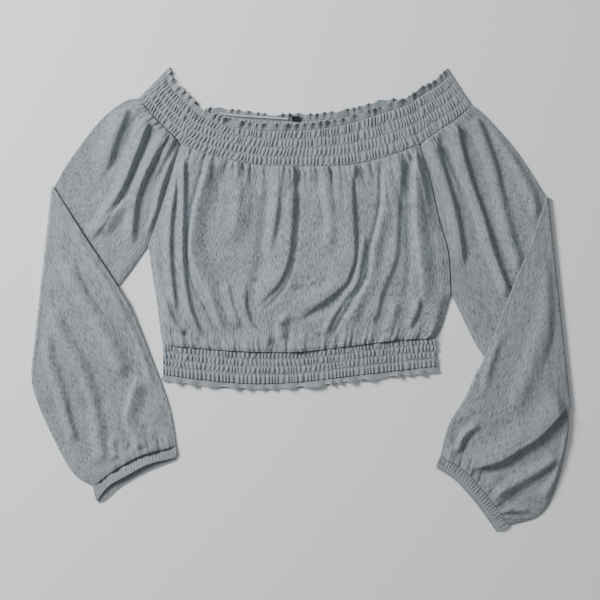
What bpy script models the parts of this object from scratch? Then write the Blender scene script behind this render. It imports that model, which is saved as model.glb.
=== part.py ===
"""An off-shoulder top in crinkled cloth, laid flat with both sleeves folded down over themselves.

It has a front and a back panel, two raglan sleeves, a shirred neck band in four lengths, a shirred
waist band, frilled edges at neck and hem, and elastic cuffs. Lengths below are in millimetres and
the model is in metres. The surface it lies on is Z = 0, +Y runs towards the neck, and left and
right are as seen from above.
"""

import math

import bmesh
import bpy
import numpy as np

MM = 0.001

# Layers of cloth, counted up from the surface
CLOTH = 1.2
GAP = 0.3
SEAM = 0.2
FRONT_UNDER = CLOTH + GAP
FRONT_TOP = FRONT_UNDER + CLOTH
BAND = 1.6
BAND_UNDER = BAND + GAP
BAND_TOP = BAND_UNDER + CLOTH
PLEAT_RISE = 1.9
PINCH = 0.35

# How finely each piece is divided
RAGLAN_ROWS = 6
SIDE_ROWS = 6
PANEL_COLUMNS = 44
NECK_PLEATS = 36
SHOULDER_PLEATS = 10
WAIST_PLEATS = 38
CUFF_PLEATS = 10
BAND_ROWS = 8
CUFF_ROWS = 2
SLEEVE_COLUMNS = 10
UNDERARM_ROWS = 6
LOWER_ROWS = 11
FRILL_ROWS = 2
BACK_FRILL_ROWS = 1
WAVE_COLUMNS = 5

# Borders of the body, left to right
NECK_SEAM = [(-143, 187), (-108, 174), (-60, 163), (0, 160), (60, 162), (108, 173), (143, 186)]
NECK_EDGE = [(-121, 221), (-90, 209), (-48, 203), (0, 203), (48, 209), (90, 221), (130, 234)]
BACK_SEAM = [(-143, 187), (-108, 179), (-60, 172), (0, 170), (60, 173), (108, 179), (143, 186)]
BACK_EDGE = [(-121, 221), (-104, 223), (-48, 216), (0, 215), (48, 218), (96, 230), (130, 234)]
WAIST_SEAM = [(-164, -54), (-120, -58), (-60, -62), (0, -62), (60, -55), (120, -48), (162, -46)]
WAIST_EDGE = [(-164, -89), (-120, -95), (-60, -100), (0, -98), (60, -91), (120, -84), (164, -79)]

# The body's sides, from the armpit down to the waist seam
SIDES = {
    "left": [(-182, 65), (-178, 36), (-172, 0), (-167, -41), (-164, -54)],
    "right": [(181, 7), (175, -14), (168, -36), (162, -46)],
}

# Border lines of each sleeve, all of them from the neck towards the cuff
SLEEVES = {
    "left": {
        "raglan": [(-143, 187), (-155, 148), (-167, 108), (-182, 65)],
        "underarm": [(-182, 65), (-218, 16), (-270, -37), (-323, -90)],
        "shoulder": [(-194, 242), (-211, 238), (-240, 215), (-276, 168), (-298, 136)],
        "band_seam": [(-143, 187), (-158, 202), (-176, 220), (-194, 242)],
        "band_edge": [(-121, 221), (-142, 241), (-157, 257), (-162, 274)],
        "inner": [(-298, 136), (-258, 77), (-218, 16), (-192, -36), (-172, -84), (-156, -130), (-148, -176)],
        "outer": [(-323, -90), (-320, -104), (-304, -148), (-274, -205), (-248, -224)],
        "cuff_seam": [(-248, -224), (-220, -203), (-188, -186), (-148, -176)],
        "cuff_edge": [(-244, -241), (-230, -223), (-210, -211), (-181, -196), (-147, -188)],
        "cuff_under_edge": [(-242, -243), (-234, -240), (-214, -223), (-184, -206), (-147, -191)],
    },
    "right": {
        "raglan": [(143, 186), (156, 144), (166, 100), (178, 56), (181, 7)],
        "underarm": [(181, 7), (221, -68), (276, -108), (325, -128)],
        "shoulder": [(206, 234), (221, 222), (258, 180), (298, 124)],
        "band_seam": [(143, 186), (165, 202), (188, 217), (206, 234)],
        "band_edge": [(130, 234), (149, 247), (168, 259), (181, 271)],
        "inner": [(298, 124), (276, 68), (248, 0), (221, -68), (200, -114), (178, -150), (168, -187)],
        "outer": [(325, -128), (320, -168), (308, -222), (288, -257), (251, -270)],
        "cuff_seam": [(251, -270), (226, -236), (200, -207), (168, -187)],
        "cuff_edge": [(239, -277), (217, -244), (190, -215), (163, -198)],
        "cuff_under_edge": [(236, -278), (213, -246), (187, -217), (162, -200)],
    },
}

# Main creases: height, width on the left and right of the way it runs, and three points of its line
FRONT_FOLDS = [
    (6.0, 14, 8, (-113, 161), (-119, 66), (-84, -46)),
    (4.5, 10, 12, (-139, 160), (-148, 72), (-130, -46)),
    (6.5, 7, 16, (-8, 158), (-10, 72), (-38, -31)),
    (4.0, 9, 9, (-40, 156), (-44, 72), (-52, -12)),
    (5.0, 12, 9, (52, 158), (58, 72), (24, -26)),
    (7.5, 15, 9, (98, 162), (92, 84), (66, -38)),
    (6.5, 9, 12, (138, 170), (140, 84), (140, -36)),
    (3.5, 8, 8, (-86, 160), (-82, 80), (-62, -20)),
    (3.5, 9, 9, (22, 154), (24, 96), (16, 30)),
    (3.0, 10, 8, (-34, -8), (22, 6), (60, 40)),
]
UPPER_FOLDS = {
    "left": [
        (5.0, 9, 13, (-196, 226), (-228, 180), (-262, 120)),
        (5.5, 9, 12, (-174, 204), (-206, 156), (-240, 86)),
        (5.0, 8, 10, (-158, 178), (-190, 126), (-204, 66)),
    ],
    "right": [
        (5.5, 12, 9, (154, 176), (184, 100), (204, -10)),
        (6.0, 13, 9, (176, 200), (214, 128), (236, 40)),
        (4.5, 11, 9, (194, 218), (240, 150), (272, 94)),
    ],
}
LOWER_FOLDS = {
    "left": [
        (5.0, 14, 16, (-278, 96), (-250, 0), (-214, -96)),
        (5.0, 15, 15, (-300, 10), (-284, -64), (-250, -150)),
        (4.0, 12, 12, (-214, -20), (-190, -90), (-176, -160)),
        (4.5, 12, 12, (-246, -90), (-228, -140), (-214, -184)),
    ],
    "right": [
        (7.0, 9, 18, (318, -136), (276, -174), (206, -194)),
        (5.0, 14, 14, (294, 40), (288, -40), (246, -140)),
        (4.5, 12, 12, (304, -190), (276, -220), (240, -240)),
        (4.0, 12, 12, (226, -84), (212, -130), (190, -176)),
    ],
}
FOLD_START = 0.12
FOLD_END = 0.35
PANEL_PUFF = 2.5
EDGE_FADE = 16.0
GATHER_RISE = 2.2
NECK_GATHER_LENGTH = 34.0
WAIST_GATHER_LENGTH = 20.0
CUFF_GATHER_LENGTH = 34.0

# Where each sleeve is folded over itself
BEND_SPACE = 0.4
BEND_AXIS = FRONT_TOP + BEND_SPACE
BEND_ANGLES = (60, 120, 180)
RING_ANGLES = (45, 0, -45)
REST_LEVEL = 4.8
REST_REACH = 25.0
DROP_START = 4.0
DROP_END = 22.0
COVERED_RISE = 1.4
COVERED_SLOPE = 0.35
SHOULDER_SHARE = 0.5

# Frilled edges: waves, height and rise
FRILL_HEIGHT = 9.0
FRILL_RISE = 2.6
FRILL_LIFT = 0.6
FRILL_SWAY = 1.3
BACK_FRILL_RISE = 0.7
FRONT_NECK_WAVES = 22
BACK_NECK_WAVES = 12
SHOULDER_WAVES = 5
HEM_WAVES = 16
HEM_HEIGHT = 8.0
HEM_WAYS = [(-0.35, -0.94), (0.35, -0.94)]
FRILL_TURN = 0.08

# The hanger loop and the plain label inside the back of the neck
LOOP_ROUTE = [(-97, 224), (-80, 221.5), (-60, 220), (-36, 218.5), (-14, 217)]
LOOP_POINTS = 20
LOOP_RADIUS = 0.8
LOOP_LEVEL = 2.8
LABEL_SIZE = (10.0, 6.0, 0.8)
LABEL_CENTRE = (-5.0, 217.0, 2.5)

# Colours, in linear light
CLOTH_BLUE = (0.215, 0.242, 0.262)
EDGE_BLUE = (0.33, 0.37, 0.39)
LABEL_BLACK = (0.012, 0.012, 0.013)


def smooth(value):
    """A soft step from 0 to 1."""
    value = np.clip(value, 0.0, 1.0)
    return value * value * (3 - 2 * value)


def curve(points, count):
    """Evenly spaced points along a smooth curve through the given ones."""
    knots = np.array(points, float)
    ends = np.vstack([2 * knots[0] - knots[1], knots, 2 * knots[-1] - knots[-2]])
    t = np.linspace(0, 1, 24, endpoint=False)[:, None]
    fine = []
    for a, b, c, d in zip(ends, ends[1:], ends[2:], ends[3:]):
        cubic = (2 * a - 5 * b + 4 * c - d) * t**2 + (3 * b - a - 3 * c + d) * t**3
        fine.append(0.5 * (2 * b + (c - a) * t + cubic))
    fine = np.vstack([*fine, knots[-1:]])
    length = np.r_[0, np.cumsum(np.hypot(*np.diff(fine, axis=0).T))]
    at = np.linspace(0, length[-1], count)
    return np.column_stack([np.interp(at, length, fine[:, axis]) for axis in (0, 1)])


def joined(*lines):
    """Lines laid end to end, with each shared point kept once."""
    return np.vstack([lines[0], *(line[1:] for line in lines[1:])])


def patch(top, bottom, left, right):
    """Plan points that fill four borders: rows from top to bottom, columns from left to right."""
    u = np.linspace(0, 1, len(top))[None, :, None]
    v = np.linspace(0, 1, len(left))[:, None, None]
    ruled = (1 - v) * top[None] + v * bottom[None] + (1 - u) * left[:, None] + u * right[:, None]
    upper = (1 - v) * ((1 - u) * top[0] + u * top[-1])
    lower = v * ((1 - u) * bottom[0] + u * bottom[-1])
    return ruled - upper - lower


def loft(top, bottom, rows):
    """Plan points on straight lines from one border to the other."""
    share = np.linspace(0, 1, rows + 1)[:, None, None]
    return (1 - share) * top[None] + share * bottom[None]


def unit(vectors):
    return vectors / np.linalg.norm(vectors, axis=-1, keepdims=True)


def trimmed(plan, top=0.0, bottom=0.0, left=0.0, right=0.0):
    """The plan with its borders drawn in by these distances, which opens the seams."""
    shift = np.zeros_like(plan)
    shift[0] += top * unit(plan[1] - plan[0])
    shift[-1] += bottom * unit(plan[-2] - plan[-1])
    shift[:, 0] += left * unit(plan[:, 1] - plan[:, 0])
    shift[:, -1] += right * unit(plan[:, -2] - plan[:, -1])
    return plan + shift


def row_ends(plan):
    """Unit vectors that carry each row on past its last point."""
    return unit(plan[:, -1] - plan[:, -2])


def left_normals(line):
    """Unit normals that point to the left of the way the line runs."""
    along = np.gradient(line, axis=0)
    return unit(np.column_stack([-along[:, 1], along[:, 0]]))


def from_line(plan, line):
    """Distance of each plan point from a line, positive on its left, and its share of the way along."""
    step = np.diff(line, axis=0)
    to_point = plan[..., None, :] - line[:-1]
    part = np.clip((to_point * step).sum(-1) / (step**2).sum(-1), 0, 1)
    distance = np.linalg.norm(to_point - part[..., None] * step, axis=-1)
    side = np.sign(step[:, 0] * to_point[..., 1] - step[:, 1] * to_point[..., 0])
    nearest = distance.argmin(-1)[..., None]
    signed = np.take_along_axis(distance * side, nearest, -1)[..., 0]
    along = np.take_along_axis(part + np.arange(len(step)), nearest, -1)[..., 0]
    return signed, along / len(step)


def fold_height(plan, folds):
    """Height that the main creases add at each plan point."""
    total = np.zeros(plan.shape[:-1])
    for height, left_width, right_width, start, middle, end in folds:
        distance, along = from_line(plan, curve([start, middle, end], 12))
        width = np.where(distance > 0, left_width, right_width)
        taper = smooth(along / FOLD_START) * smooth((1 - along) / FOLD_END)
        total += height * taper * smooth(1 - np.abs(distance) / (1.6 * width))
    return total


def uneven(count, seed):
    """Shares from about 0.5 to 1 that never quite repeat, one for each gather or pleat."""
    steps = np.arange(count)
    return 0.75 + 0.17 * np.sin(2.3 * steps + seed) + 0.08 * np.sin(5.1 * steps + 2 * seed)


def gathers(distance, length, seed):
    """Small folds that start at a gathered seam, one for each second column, and run out."""
    columns = distance.shape[1]
    crest = (np.arange(columns) % 2) * uneven(columns, seed)
    reach = length * (0.5 + uneven(columns, seed + 4))
    return GATHER_RISE * crest * np.exp(-distance / reach)


def pleats(rows, columns, seed):
    """Raised pleats of a shirred band: a crest on each odd column, pinched at each even row."""
    crest = (np.arange(columns) % 2) * uneven(columns, seed)
    pinch = np.where(np.arange(rows) % 2 == 1, 1.0, PINCH)
    return PLEAT_RISE * pinch[:, None] * crest[None, :]


def raised(plan, height):
    """Plan points lifted to a height, which may be one number."""
    return np.dstack([plan, np.broadcast_to(height, plan.shape[:2])])


def folded(front, back, outward, front_z, back_z):
    """One face of a strip that runs along its front, round a fold and back along its rear."""
    front_z = np.broadcast_to(front_z, front.shape[:2])
    back_z = np.broadcast_to(back_z, back.shape[:2])
    radius = (front_z[:, -1] - back_z[:, -1]) / 2
    middle = (front_z[:, -1] + back_z[:, -1]) / 2
    ring = []
    for angle in np.radians(RING_ANGLES):
        place = front[:, -1] + (np.abs(radius) * math.cos(angle))[:, None] * outward
        ring.append(np.column_stack([place, middle + radius * math.sin(angle)])[:, None])
    return np.concatenate([raised(front, front_z), *ring, raised(back, back_z)[:, ::-1]], axis=1)


def material(name, colour, roughness=0.95):
    made = bpy.data.materials.new(name)
    made.use_nodes = True
    shader = made.node_tree.nodes["Principled BSDF"]
    shader.inputs["Base Color"].default_value = (*colour, 1)
    shader.inputs["Roughness"].default_value = roughness
    shader.inputs["Metallic"].default_value = 0
    return made


def add_object(name, data, colour):
    made = bpy.data.objects.new(name, data)
    data.materials.append(material(name, colour))
    bpy.data.collections["off_shoulder_top"].objects.link(made)
    return made


def placed_grid(points, far_points):
    """A grid moved to these points and extruded to the far ones, as a closed wall."""
    rows, columns = points.shape[:2]
    cells = bmesh.new()
    bmesh.ops.create_grid(cells, x_segments=columns - 1, y_segments=rows - 1, size=1)
    extruded = bmesh.ops.extrude_face_region(cells, geom=cells.faces[:], use_keep_orig=True)
    far = {item for item in extruded["geom"] if isinstance(item, bmesh.types.BMVert)}
    for vert in cells.verts:
        column = round((vert.co.x + 1) / 2 * (columns - 1))
        row = round((vert.co.y + 1) / 2 * (rows - 1))
        place = far_points if vert in far else points
        vert.co = place[row, column] * MM
    bmesh.ops.recalc_face_normals(cells, faces=cells.faces)
    if cells.calc_volume(signed=True) < 0:
        bmesh.ops.reverse_faces(cells, faces=cells.faces)
    data = bpy.data.meshes.new("cloth")
    cells.to_mesh(data)
    cells.free()
    data.shade_smooth()
    return data


def wall(name, outside, inside, colour=CLOTH_BLUE):
    """A cloth wall between its outer and its inner points."""
    return add_object(name, placed_grid(outside, inside), colour)


def open_sheet(name, plan, under, colour=CLOTH_BLUE):
    """A cloth wall that nowhere folds under itself, from the height of its underside."""
    return wall(name, raised(plan, under + CLOTH), raised(plan, under), colour)


def panel_plan(top_line, columns):
    """Plan of a body panel: its sides follow the raglan seams and then the side seams."""
    sides = {}
    for side, border in SLEEVES.items():
        raglan = curve(border["raglan"], RAGLAN_ROWS + 1)
        sides[side] = joined(raglan, curve(SIDES[side], SIDE_ROWS + 1))
    top = curve(top_line, columns + 1)
    bottom = curve(WAIST_SEAM, columns + 1)
    plan = patch(top, bottom, sides["left"], sides["right"])
    return trimmed(plan, top=SEAM, bottom=SEAM, left=SEAM, right=SEAM)


def edge_distance(plan):
    """Distance of each point from the nearer end of its row."""
    from_start = np.linalg.norm(plan - plan[:, :1], axis=-1)
    from_end = np.linalg.norm(plan - plan[:, -1:], axis=-1)
    return np.minimum(from_start, from_end)


def make_front_panel():
    plan = panel_plan(NECK_SEAM, PANEL_COLUMNS)
    below_neck = np.linalg.norm(plan - plan[:1], axis=-1)
    above_waist = np.linalg.norm(plan - plan[-1:], axis=-1)
    puff = PANEL_PUFF * smooth(below_neck / 40) * smooth(above_waist / 40)
    relief = puff + fold_height(plan, FRONT_FOLDS)
    relief += gathers(below_neck, NECK_GATHER_LENGTH, 1.0)
    relief += gathers(above_waist, WAIST_GATHER_LENGTH, 2.0)
    relief *= smooth(edge_distance(plan) / EDGE_FADE)
    open_sheet("front_body", plan, FRONT_UNDER + relief)


def make_back_panel():
    plan = panel_plan(BACK_SEAM, PANEL_COLUMNS // 2)
    wall("back_body", raised(plan, 0.0), raised(plan, CLOTH))


def make_band(name, edge, seam, count, seed):
    """A shirred length of the front: plain inside, with pleats raised outside."""
    columns = 2 * count + 1
    plan = loft(curve(edge, columns), curve(seam, columns), BAND_ROWS)
    plan = trimmed(plan, bottom=SEAM, left=SEAM, right=SEAM)
    outside = BAND_TOP + pleats(BAND_ROWS + 1, columns, seed)
    wall(name, raised(plan, outside), raised(plan, BAND_UNDER))


def make_back_band(name, edge, seam):
    """A length of band under the garment, flat where it rests."""
    columns = PANEL_COLUMNS // 2 + 1
    plan = loft(curve(edge, columns), curve(seam, columns), 1)
    plan = trimmed(plan, bottom=SEAM, left=SEAM, right=SEAM)
    wall(name, raised(plan, 0.0), raised(plan, BAND))


def make_shoulder_band(side):
    """The length of neck band over one sleeve, from front seam round the fold to back seam."""
    border = SLEEVES[side]
    columns = 2 * SHOULDER_PLEATS + 1
    plan = loft(curve(border["band_edge"], columns), curve(border["band_seam"], columns), BAND_ROWS)
    plan = trimmed(plan, bottom=SEAM, left=SEAM, right=BAND_TOP / 2)
    outward = row_ends(plan)
    relief = pleats(BAND_ROWS + 1, columns, 3.0)
    outside = folded(plan, plan, outward, BAND_TOP + relief, 0.0)
    inside = folded(plan, plan, outward, BAND_UNDER, BAND)
    wall(side + "_neck_shirring", outside, inside)


def turn_of(side):
    """+1 on the left and -1 on the right, where the same lines run the other way round."""
    return 1 if side == "left" else -1


def bend_frame(side):
    """Ends of the line that a sleeve is folded over, and the way its fold points."""
    border = SLEEVES[side]
    low = np.array(border["underarm"][-1], float)
    high = np.array(border["shoulder"][-1], float)
    along = unit(high - low)
    outward = turn_of(side) * np.array([-along[1], along[0]])
    return low - BEND_AXIS * outward, high - BEND_AXIS * outward, along, outward


def edge_normals(line, sign, bend_way, at_end):
    """Outward normals of a folded edge, turned to lie along the bend where it reaches it."""
    normals = sign * left_normals(line)
    place = -1 if at_end else 0
    near = -2 if at_end else 1
    normals[place] = bend_way
    normals[near] = unit(normals[near] + bend_way)
    return normals


def upper_sleeve_plan(side):
    """Plan of the sleeve from neck band to bend, from its inner edge out to its shoulder fold."""
    border = SLEEVES[side]
    low, high, along, _ = bend_frame(side)
    underarm = curve([*border["underarm"][:-1], low], UNDERARM_ROWS + 1)
    inner = joined(curve(border["raglan"], RAGLAN_ROWS + 1), underarm)
    fold = curve([*border["shoulder"][:-1], high], 201)
    shares = joined(
        np.linspace(0, SHOULDER_SHARE, RAGLAN_ROWS + 1)[:, None],
        np.linspace(SHOULDER_SHARE, 1, UNDERARM_ROWS + 1)[:, None],
    )
    outer = fold[np.rint(200 * shares[:, 0]).astype(int)]
    outward = edge_normals(outer, -turn_of(side), along, True)
    top = curve(border["band_seam"], SLEEVE_COLUMNS + 1)
    bottom = np.linspace(low, high, SLEEVE_COLUMNS + 1)
    outward[0] = unit(top[-1] - top[-2])
    plan = patch(top, bottom, inner, outer)
    plan[:, -1] -= FRONT_TOP / 2 * outward
    plan = trimmed(plan, top=SEAM, left=SEAM)
    plan[-1, 0] = low
    return plan, outward


def lower_sleeve_plan(side):
    """Plan of the sleeve from bend to cuff, from its seam edge to its folded edge."""
    border = SLEEVES[side]
    low, high, along, _ = bend_frame(side)
    seam_edge = curve([low, *border["outer"][1:]], LOWER_ROWS + 1)
    fold_edge = curve([high, *border["inner"][1:]], LOWER_ROWS + 1)
    outward = edge_normals(fold_edge, turn_of(side), along, False)
    top = np.linspace(low, high, SLEEVE_COLUMNS + 1)
    bottom = curve(border["cuff_seam"], SLEEVE_COLUMNS + 1)
    outward[-1] = unit(bottom[-1] - bottom[-2])
    plan = patch(top, bottom, seam_edge, fold_edge)
    plan[:, -1] -= FRONT_TOP / 2 * outward
    return trimmed(plan, bottom=SEAM), outward


def rest_height(side, plan):
    """Height of what the lower sleeve lies on: the upper sleeve, and the surface beyond its edge."""
    border = SLEEVES[side]
    low, high, _, _ = bend_frame(side)
    from_bend = np.abs(from_line(plan, np.array([low, high]))[0])
    start = 2 * BEND_AXIS - FRONT_TOP
    on_sleeve = start + (REST_LEVEL - start) * smooth(from_bend / REST_REACH)
    beyond = turn_of(side) * from_line(plan, curve(border["underarm"], 12))[0]
    drop = smooth((DROP_END - beyond) / (DROP_END - DROP_START))
    return on_sleeve * drop


def upper_relief(side, plan):
    """Creases of the upper sleeve, which lie low where the lower sleeve covers them."""
    border = SLEEVES[side]
    low, high, _, _ = bend_frame(side)
    below_band = np.linalg.norm(plan - plan[:1], axis=-1)
    relief = fold_height(plan, UPPER_FOLDS[side]) + gathers(below_band, NECK_GATHER_LENGTH, 5.0)
    shown = turn_of(side) * from_line(plan, curve(border["inner"], 24))[0]
    relief = np.minimum(relief, COVERED_RISE + COVERED_SLOPE * np.maximum(shown, 0))
    from_bend = np.abs(from_line(plan, np.array([low, high]))[0])
    relief *= smooth(from_bend / REST_REACH)
    return relief * smooth(edge_distance(plan) / EDGE_FADE)


def lower_relief(side, plan):
    """Creases of the lower sleeve and the gathers above its cuff."""
    low, high, _, _ = bend_frame(side)
    above_cuff = np.linalg.norm(plan - plan[-1:], axis=-1)
    relief = fold_height(plan, LOWER_FOLDS[side]) + gathers(above_cuff, CUFF_GATHER_LENGTH, 6.0)
    from_bend = np.abs(from_line(plan, np.array([low, high]))[0])
    relief *= smooth(from_bend / REST_REACH)
    return relief * smooth(edge_distance(plan) / EDGE_FADE)


def bent(section, angle, side):
    """The section at the bend line, turned about it by this angle."""
    _, _, _, outward = bend_frame(side)
    radius = BEND_AXIS - section[:, 2]
    turned = section.copy()
    turned[:, :2] += (radius * math.sin(angle))[:, None] * outward
    turned[:, 2] = BEND_AXIS - radius * math.cos(angle)
    return turned


def make_sleeve(side):
    upper, upper_out = upper_sleeve_plan(side)
    lower, lower_out = lower_sleeve_plan(side)
    relief = upper_relief(side, upper)
    rest = rest_height(side, lower)
    lifted = lower_relief(side, lower)
    top_layer = rest + FRONT_UNDER
    faces = []
    for front_z, back_z, under_z, over_z in (
        (FRONT_TOP + relief, 0.0, rest, top_layer + CLOTH + lifted),
        (FRONT_UNDER + relief, CLOTH, rest + CLOTH, top_layer + lifted),
    ):
        near = folded(upper, upper, upper_out, front_z, back_z)
        bend = [bent(near[-1], math.radians(angle), side)[None] for angle in BEND_ANGLES]
        far = folded(lower, lower, lower_out, under_z, over_z)
        faces.append(np.concatenate([near, *bend, far[1:]]))
    wall(side + "_sleeve", *faces)


def make_cuff(side):
    """A narrow elastic casing: plain inside, with gathers raised on its upper side."""
    border = SLEEVES[side]
    columns = 2 * CUFF_PLEATS + 1
    seam = curve(border["cuff_seam"], columns)
    over = loft(seam, curve(border["cuff_edge"], columns), CUFF_ROWS)
    under = loft(seam, curve(border["cuff_under_edge"], columns), CUFF_ROWS)
    over = trimmed(over, top=SEAM, right=BAND_TOP / 2)
    under = trimmed(under, top=SEAM, right=BAND_TOP / 2)
    under[:, -1] = over[:, -1]
    outward = row_ends(over)
    relief = pleats(CUFF_ROWS + 1, columns, 7.0)
    outside = folded(under, over, outward, 0.0, BAND_TOP + relief)
    inside = folded(under, over, outward, BAND, BAND_UNDER)
    wall(side + "_cuff", outside, inside)


def frill(root, away, waves, level, lift, rise, rows=FRILL_ROWS, height=FRILL_HEIGHT):
    """Plan and underside of a frilled edge, flat at its root and waving more towards its tip."""
    share = np.linspace(0, 1, rows + 1)[:, None]
    count = len(root)
    place = np.linspace(0, 1, count)
    still_ends = smooth(waves * np.minimum(place, 1 - place))
    phase = 2 * math.pi * waves * place
    phase = phase + 0.5 * np.sin(0.37 * phase)
    along = np.column_stack([away[:, 1], -away[:, 0]])
    reach = height * share * (0.93 + 0.07 * np.cos(0.5 * phase))
    sway = FRILL_SWAY * share * np.sin(2 * phase) * still_ends
    plan = root + reach[..., None] * away + sway[..., None] * along
    swell = (0.5 - 0.5 * np.cos(phase)) * still_ends
    return plan, level + lift * share + rise * share * swell


def make_frill(name, edge, end_ways, waves, level, lift, rise, rows, height=FRILL_HEIGHT):
    """A frilled edge on a length of the front or back. Its ends point the two given ways."""
    root = curve(edge, WAVE_COLUMNS * waves + 1)
    away = left_normals(root)
    away *= np.sign((away[0] * end_ways[0]).sum())
    share = np.linspace(0, 1, len(root))[:, None]
    for end_way, from_end in zip(end_ways, (share, 1 - share)):
        weight = smooth(1 - from_end / FRILL_TURN)
        away = unit((1 - weight) * away + weight * end_way)
    root[0] += SEAM * unit(root[1] - root[0])
    root[-1] += SEAM * unit(root[-2] - root[-1])
    root = root + SEAM * away
    plan, under = frill(root, away, waves, level, lift, rise, rows, height)
    open_sheet(name, plan, under, EDGE_BLUE)


def neck_seam_way(side):
    """The way that the neck band's raglan seam points, out of the garment."""
    border = SLEEVES[side]
    return unit(np.array(border["band_edge"][0], float) - border["band_seam"][0])


def make_shoulder_frill(side):
    """The frilled edge over one sleeve, from front seam round the fold to back seam."""
    border = SLEEVES[side]
    count = WAVE_COLUMNS * SHOULDER_WAVES + 1
    band = loft(curve(border["band_edge"], count), curve(border["band_seam"], count), 2)
    band = trimmed(band, left=2 * SEAM, right=FRONT_TOP / 2)
    away = unit(band[0] - band[1])
    root = band[0] + 2 * SEAM * away
    front, front_z = frill(root, away, SHOULDER_WAVES, BAND_UNDER, FRILL_LIFT, FRILL_RISE)
    back, back_z = frill(root, away, SHOULDER_WAVES, 0.0, 0.0, BACK_FRILL_RISE)
    outward = row_ends(band)[:1].repeat(len(front), axis=0)
    back[:, -1] = front[:, -1]
    outside = folded(front, back, outward, front_z + CLOTH, back_z)
    inside = folded(front, back, outward, front_z, back_z + CLOTH)
    wall(side + "_neck_ruffle", outside, inside, EDGE_BLUE)


def make_loop():
    """The hanger loop, a narrow ribbon drawn here as a thin cord."""
    data = bpy.data.curves.new("hanger_loop", "CURVE")
    data.dimensions = "3D"
    data.bevel_depth = LOOP_RADIUS * MM
    data.bevel_resolution = 2
    data.use_fill_caps = True
    route = curve(LOOP_ROUTE, LOOP_POINTS)
    line = data.splines.new("POLY")
    line.points.add(LOOP_POINTS - 1)
    for point, place in zip(line.points, route):
        point.co = (place[0] * MM, place[1] * MM, LOOP_LEVEL * MM, 1)
    add_object("hanger_loop", data, EDGE_BLUE)


def make_label():
    bpy.ops.mesh.primitive_cube_add(size=1, location=[value * MM for value in LABEL_CENTRE])
    made = bpy.context.object
    made.name = "label"
    made.scale = [value * MM for value in LABEL_SIZE]
    for owner in list(made.users_collection):
        owner.objects.unlink(made)
    bpy.data.collections["off_shoulder_top"].objects.link(made)
    made.data.materials.append(material("label", LABEL_BLACK))


def main():
    for old in list(bpy.data.objects):
        bpy.data.objects.remove(old, do_unlink=True)
    bpy.context.scene.collection.children.link(bpy.data.collections.new("off_shoulder_top"))
    make_front_panel()
    make_back_panel()
    make_band("front_neck_shirring", NECK_EDGE, NECK_SEAM, NECK_PLEATS, 1.0)
    make_band("front_waist_shirring", WAIST_SEAM, WAIST_EDGE, WAIST_PLEATS, 2.0)
    make_back_band("back_neck_shirring", BACK_EDGE, BACK_SEAM)
    make_back_band("back_waist_shirring", WAIST_SEAM, WAIST_EDGE)
    front = (BAND_UNDER, FRILL_LIFT, FRILL_RISE, FRILL_ROWS)
    back = (0.0, 0.0, BACK_FRILL_RISE, BACK_FRILL_ROWS)
    seam_ways = [neck_seam_way(side) for side in SLEEVES]
    hem_ways = np.array(HEM_WAYS)
    make_frill("front_neck_ruffle", NECK_EDGE, seam_ways, FRONT_NECK_WAVES, *front)
    make_frill("back_neck_ruffle", BACK_EDGE, seam_ways, BACK_NECK_WAVES, *back)
    make_frill("front_hem_ruffle", WAIST_EDGE, hem_ways, HEM_WAVES, *front, HEM_HEIGHT)
    make_frill("back_hem_ruffle", WAIST_EDGE, hem_ways, HEM_WAVES // 2, *back, HEM_HEIGHT)
    for side in SLEEVES:
        make_shoulder_band(side)
        make_shoulder_frill(side)
        make_sleeve(side)
        make_cuff(side)
    make_loop()
    make_label()


main()
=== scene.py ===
"""An off-shoulder top in crinkled cloth, laid flat with both sleeves folded down over themselves.

Each piece repeats the border lines of its solid and adds the creases, gathers, shirring and frills.
Lengths in the tables are in millimetres and the scene is in metres. Left and right are as seen from
above, +Y runs towards the neck and Z = 0 is the surface that the top lies on.
"""

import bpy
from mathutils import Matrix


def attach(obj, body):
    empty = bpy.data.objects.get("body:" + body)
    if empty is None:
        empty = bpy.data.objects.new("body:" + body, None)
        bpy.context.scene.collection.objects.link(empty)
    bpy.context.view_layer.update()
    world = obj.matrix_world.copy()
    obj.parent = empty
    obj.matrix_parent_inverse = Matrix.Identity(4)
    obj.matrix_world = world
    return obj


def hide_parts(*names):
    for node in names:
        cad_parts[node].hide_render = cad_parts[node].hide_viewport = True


bl_info = {
    "name": "Off-shoulder top",
    "version": (1, 0, 0),
    "blender": (4, 5, 0),
    "location": "3D View > Sidebar > Top",
    "description": "Builds the cloth pieces of an off-shoulder top around its solids",
    "category": "Object",
}

import math

import bmesh
import bpy
import numpy as np
from bpy.props import FloatProperty, FloatVectorProperty, PointerProperty

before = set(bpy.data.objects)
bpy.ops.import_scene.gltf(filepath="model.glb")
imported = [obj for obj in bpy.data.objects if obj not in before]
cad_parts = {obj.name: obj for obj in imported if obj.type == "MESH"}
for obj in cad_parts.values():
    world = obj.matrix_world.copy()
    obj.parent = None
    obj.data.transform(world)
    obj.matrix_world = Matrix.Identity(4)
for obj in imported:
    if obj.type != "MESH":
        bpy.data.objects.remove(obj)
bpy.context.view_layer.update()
MM = 0.001

# Levels of the layers of cloth, counted up from the surface, as in the solids
BACK_TOP = 1.2
FRONT_TOP = 2.7
BAND_UNDER = 1.9
BAND_TOP = 3.1
SEAM = 0.04
TWO_LAYERS = 1.6

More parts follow.
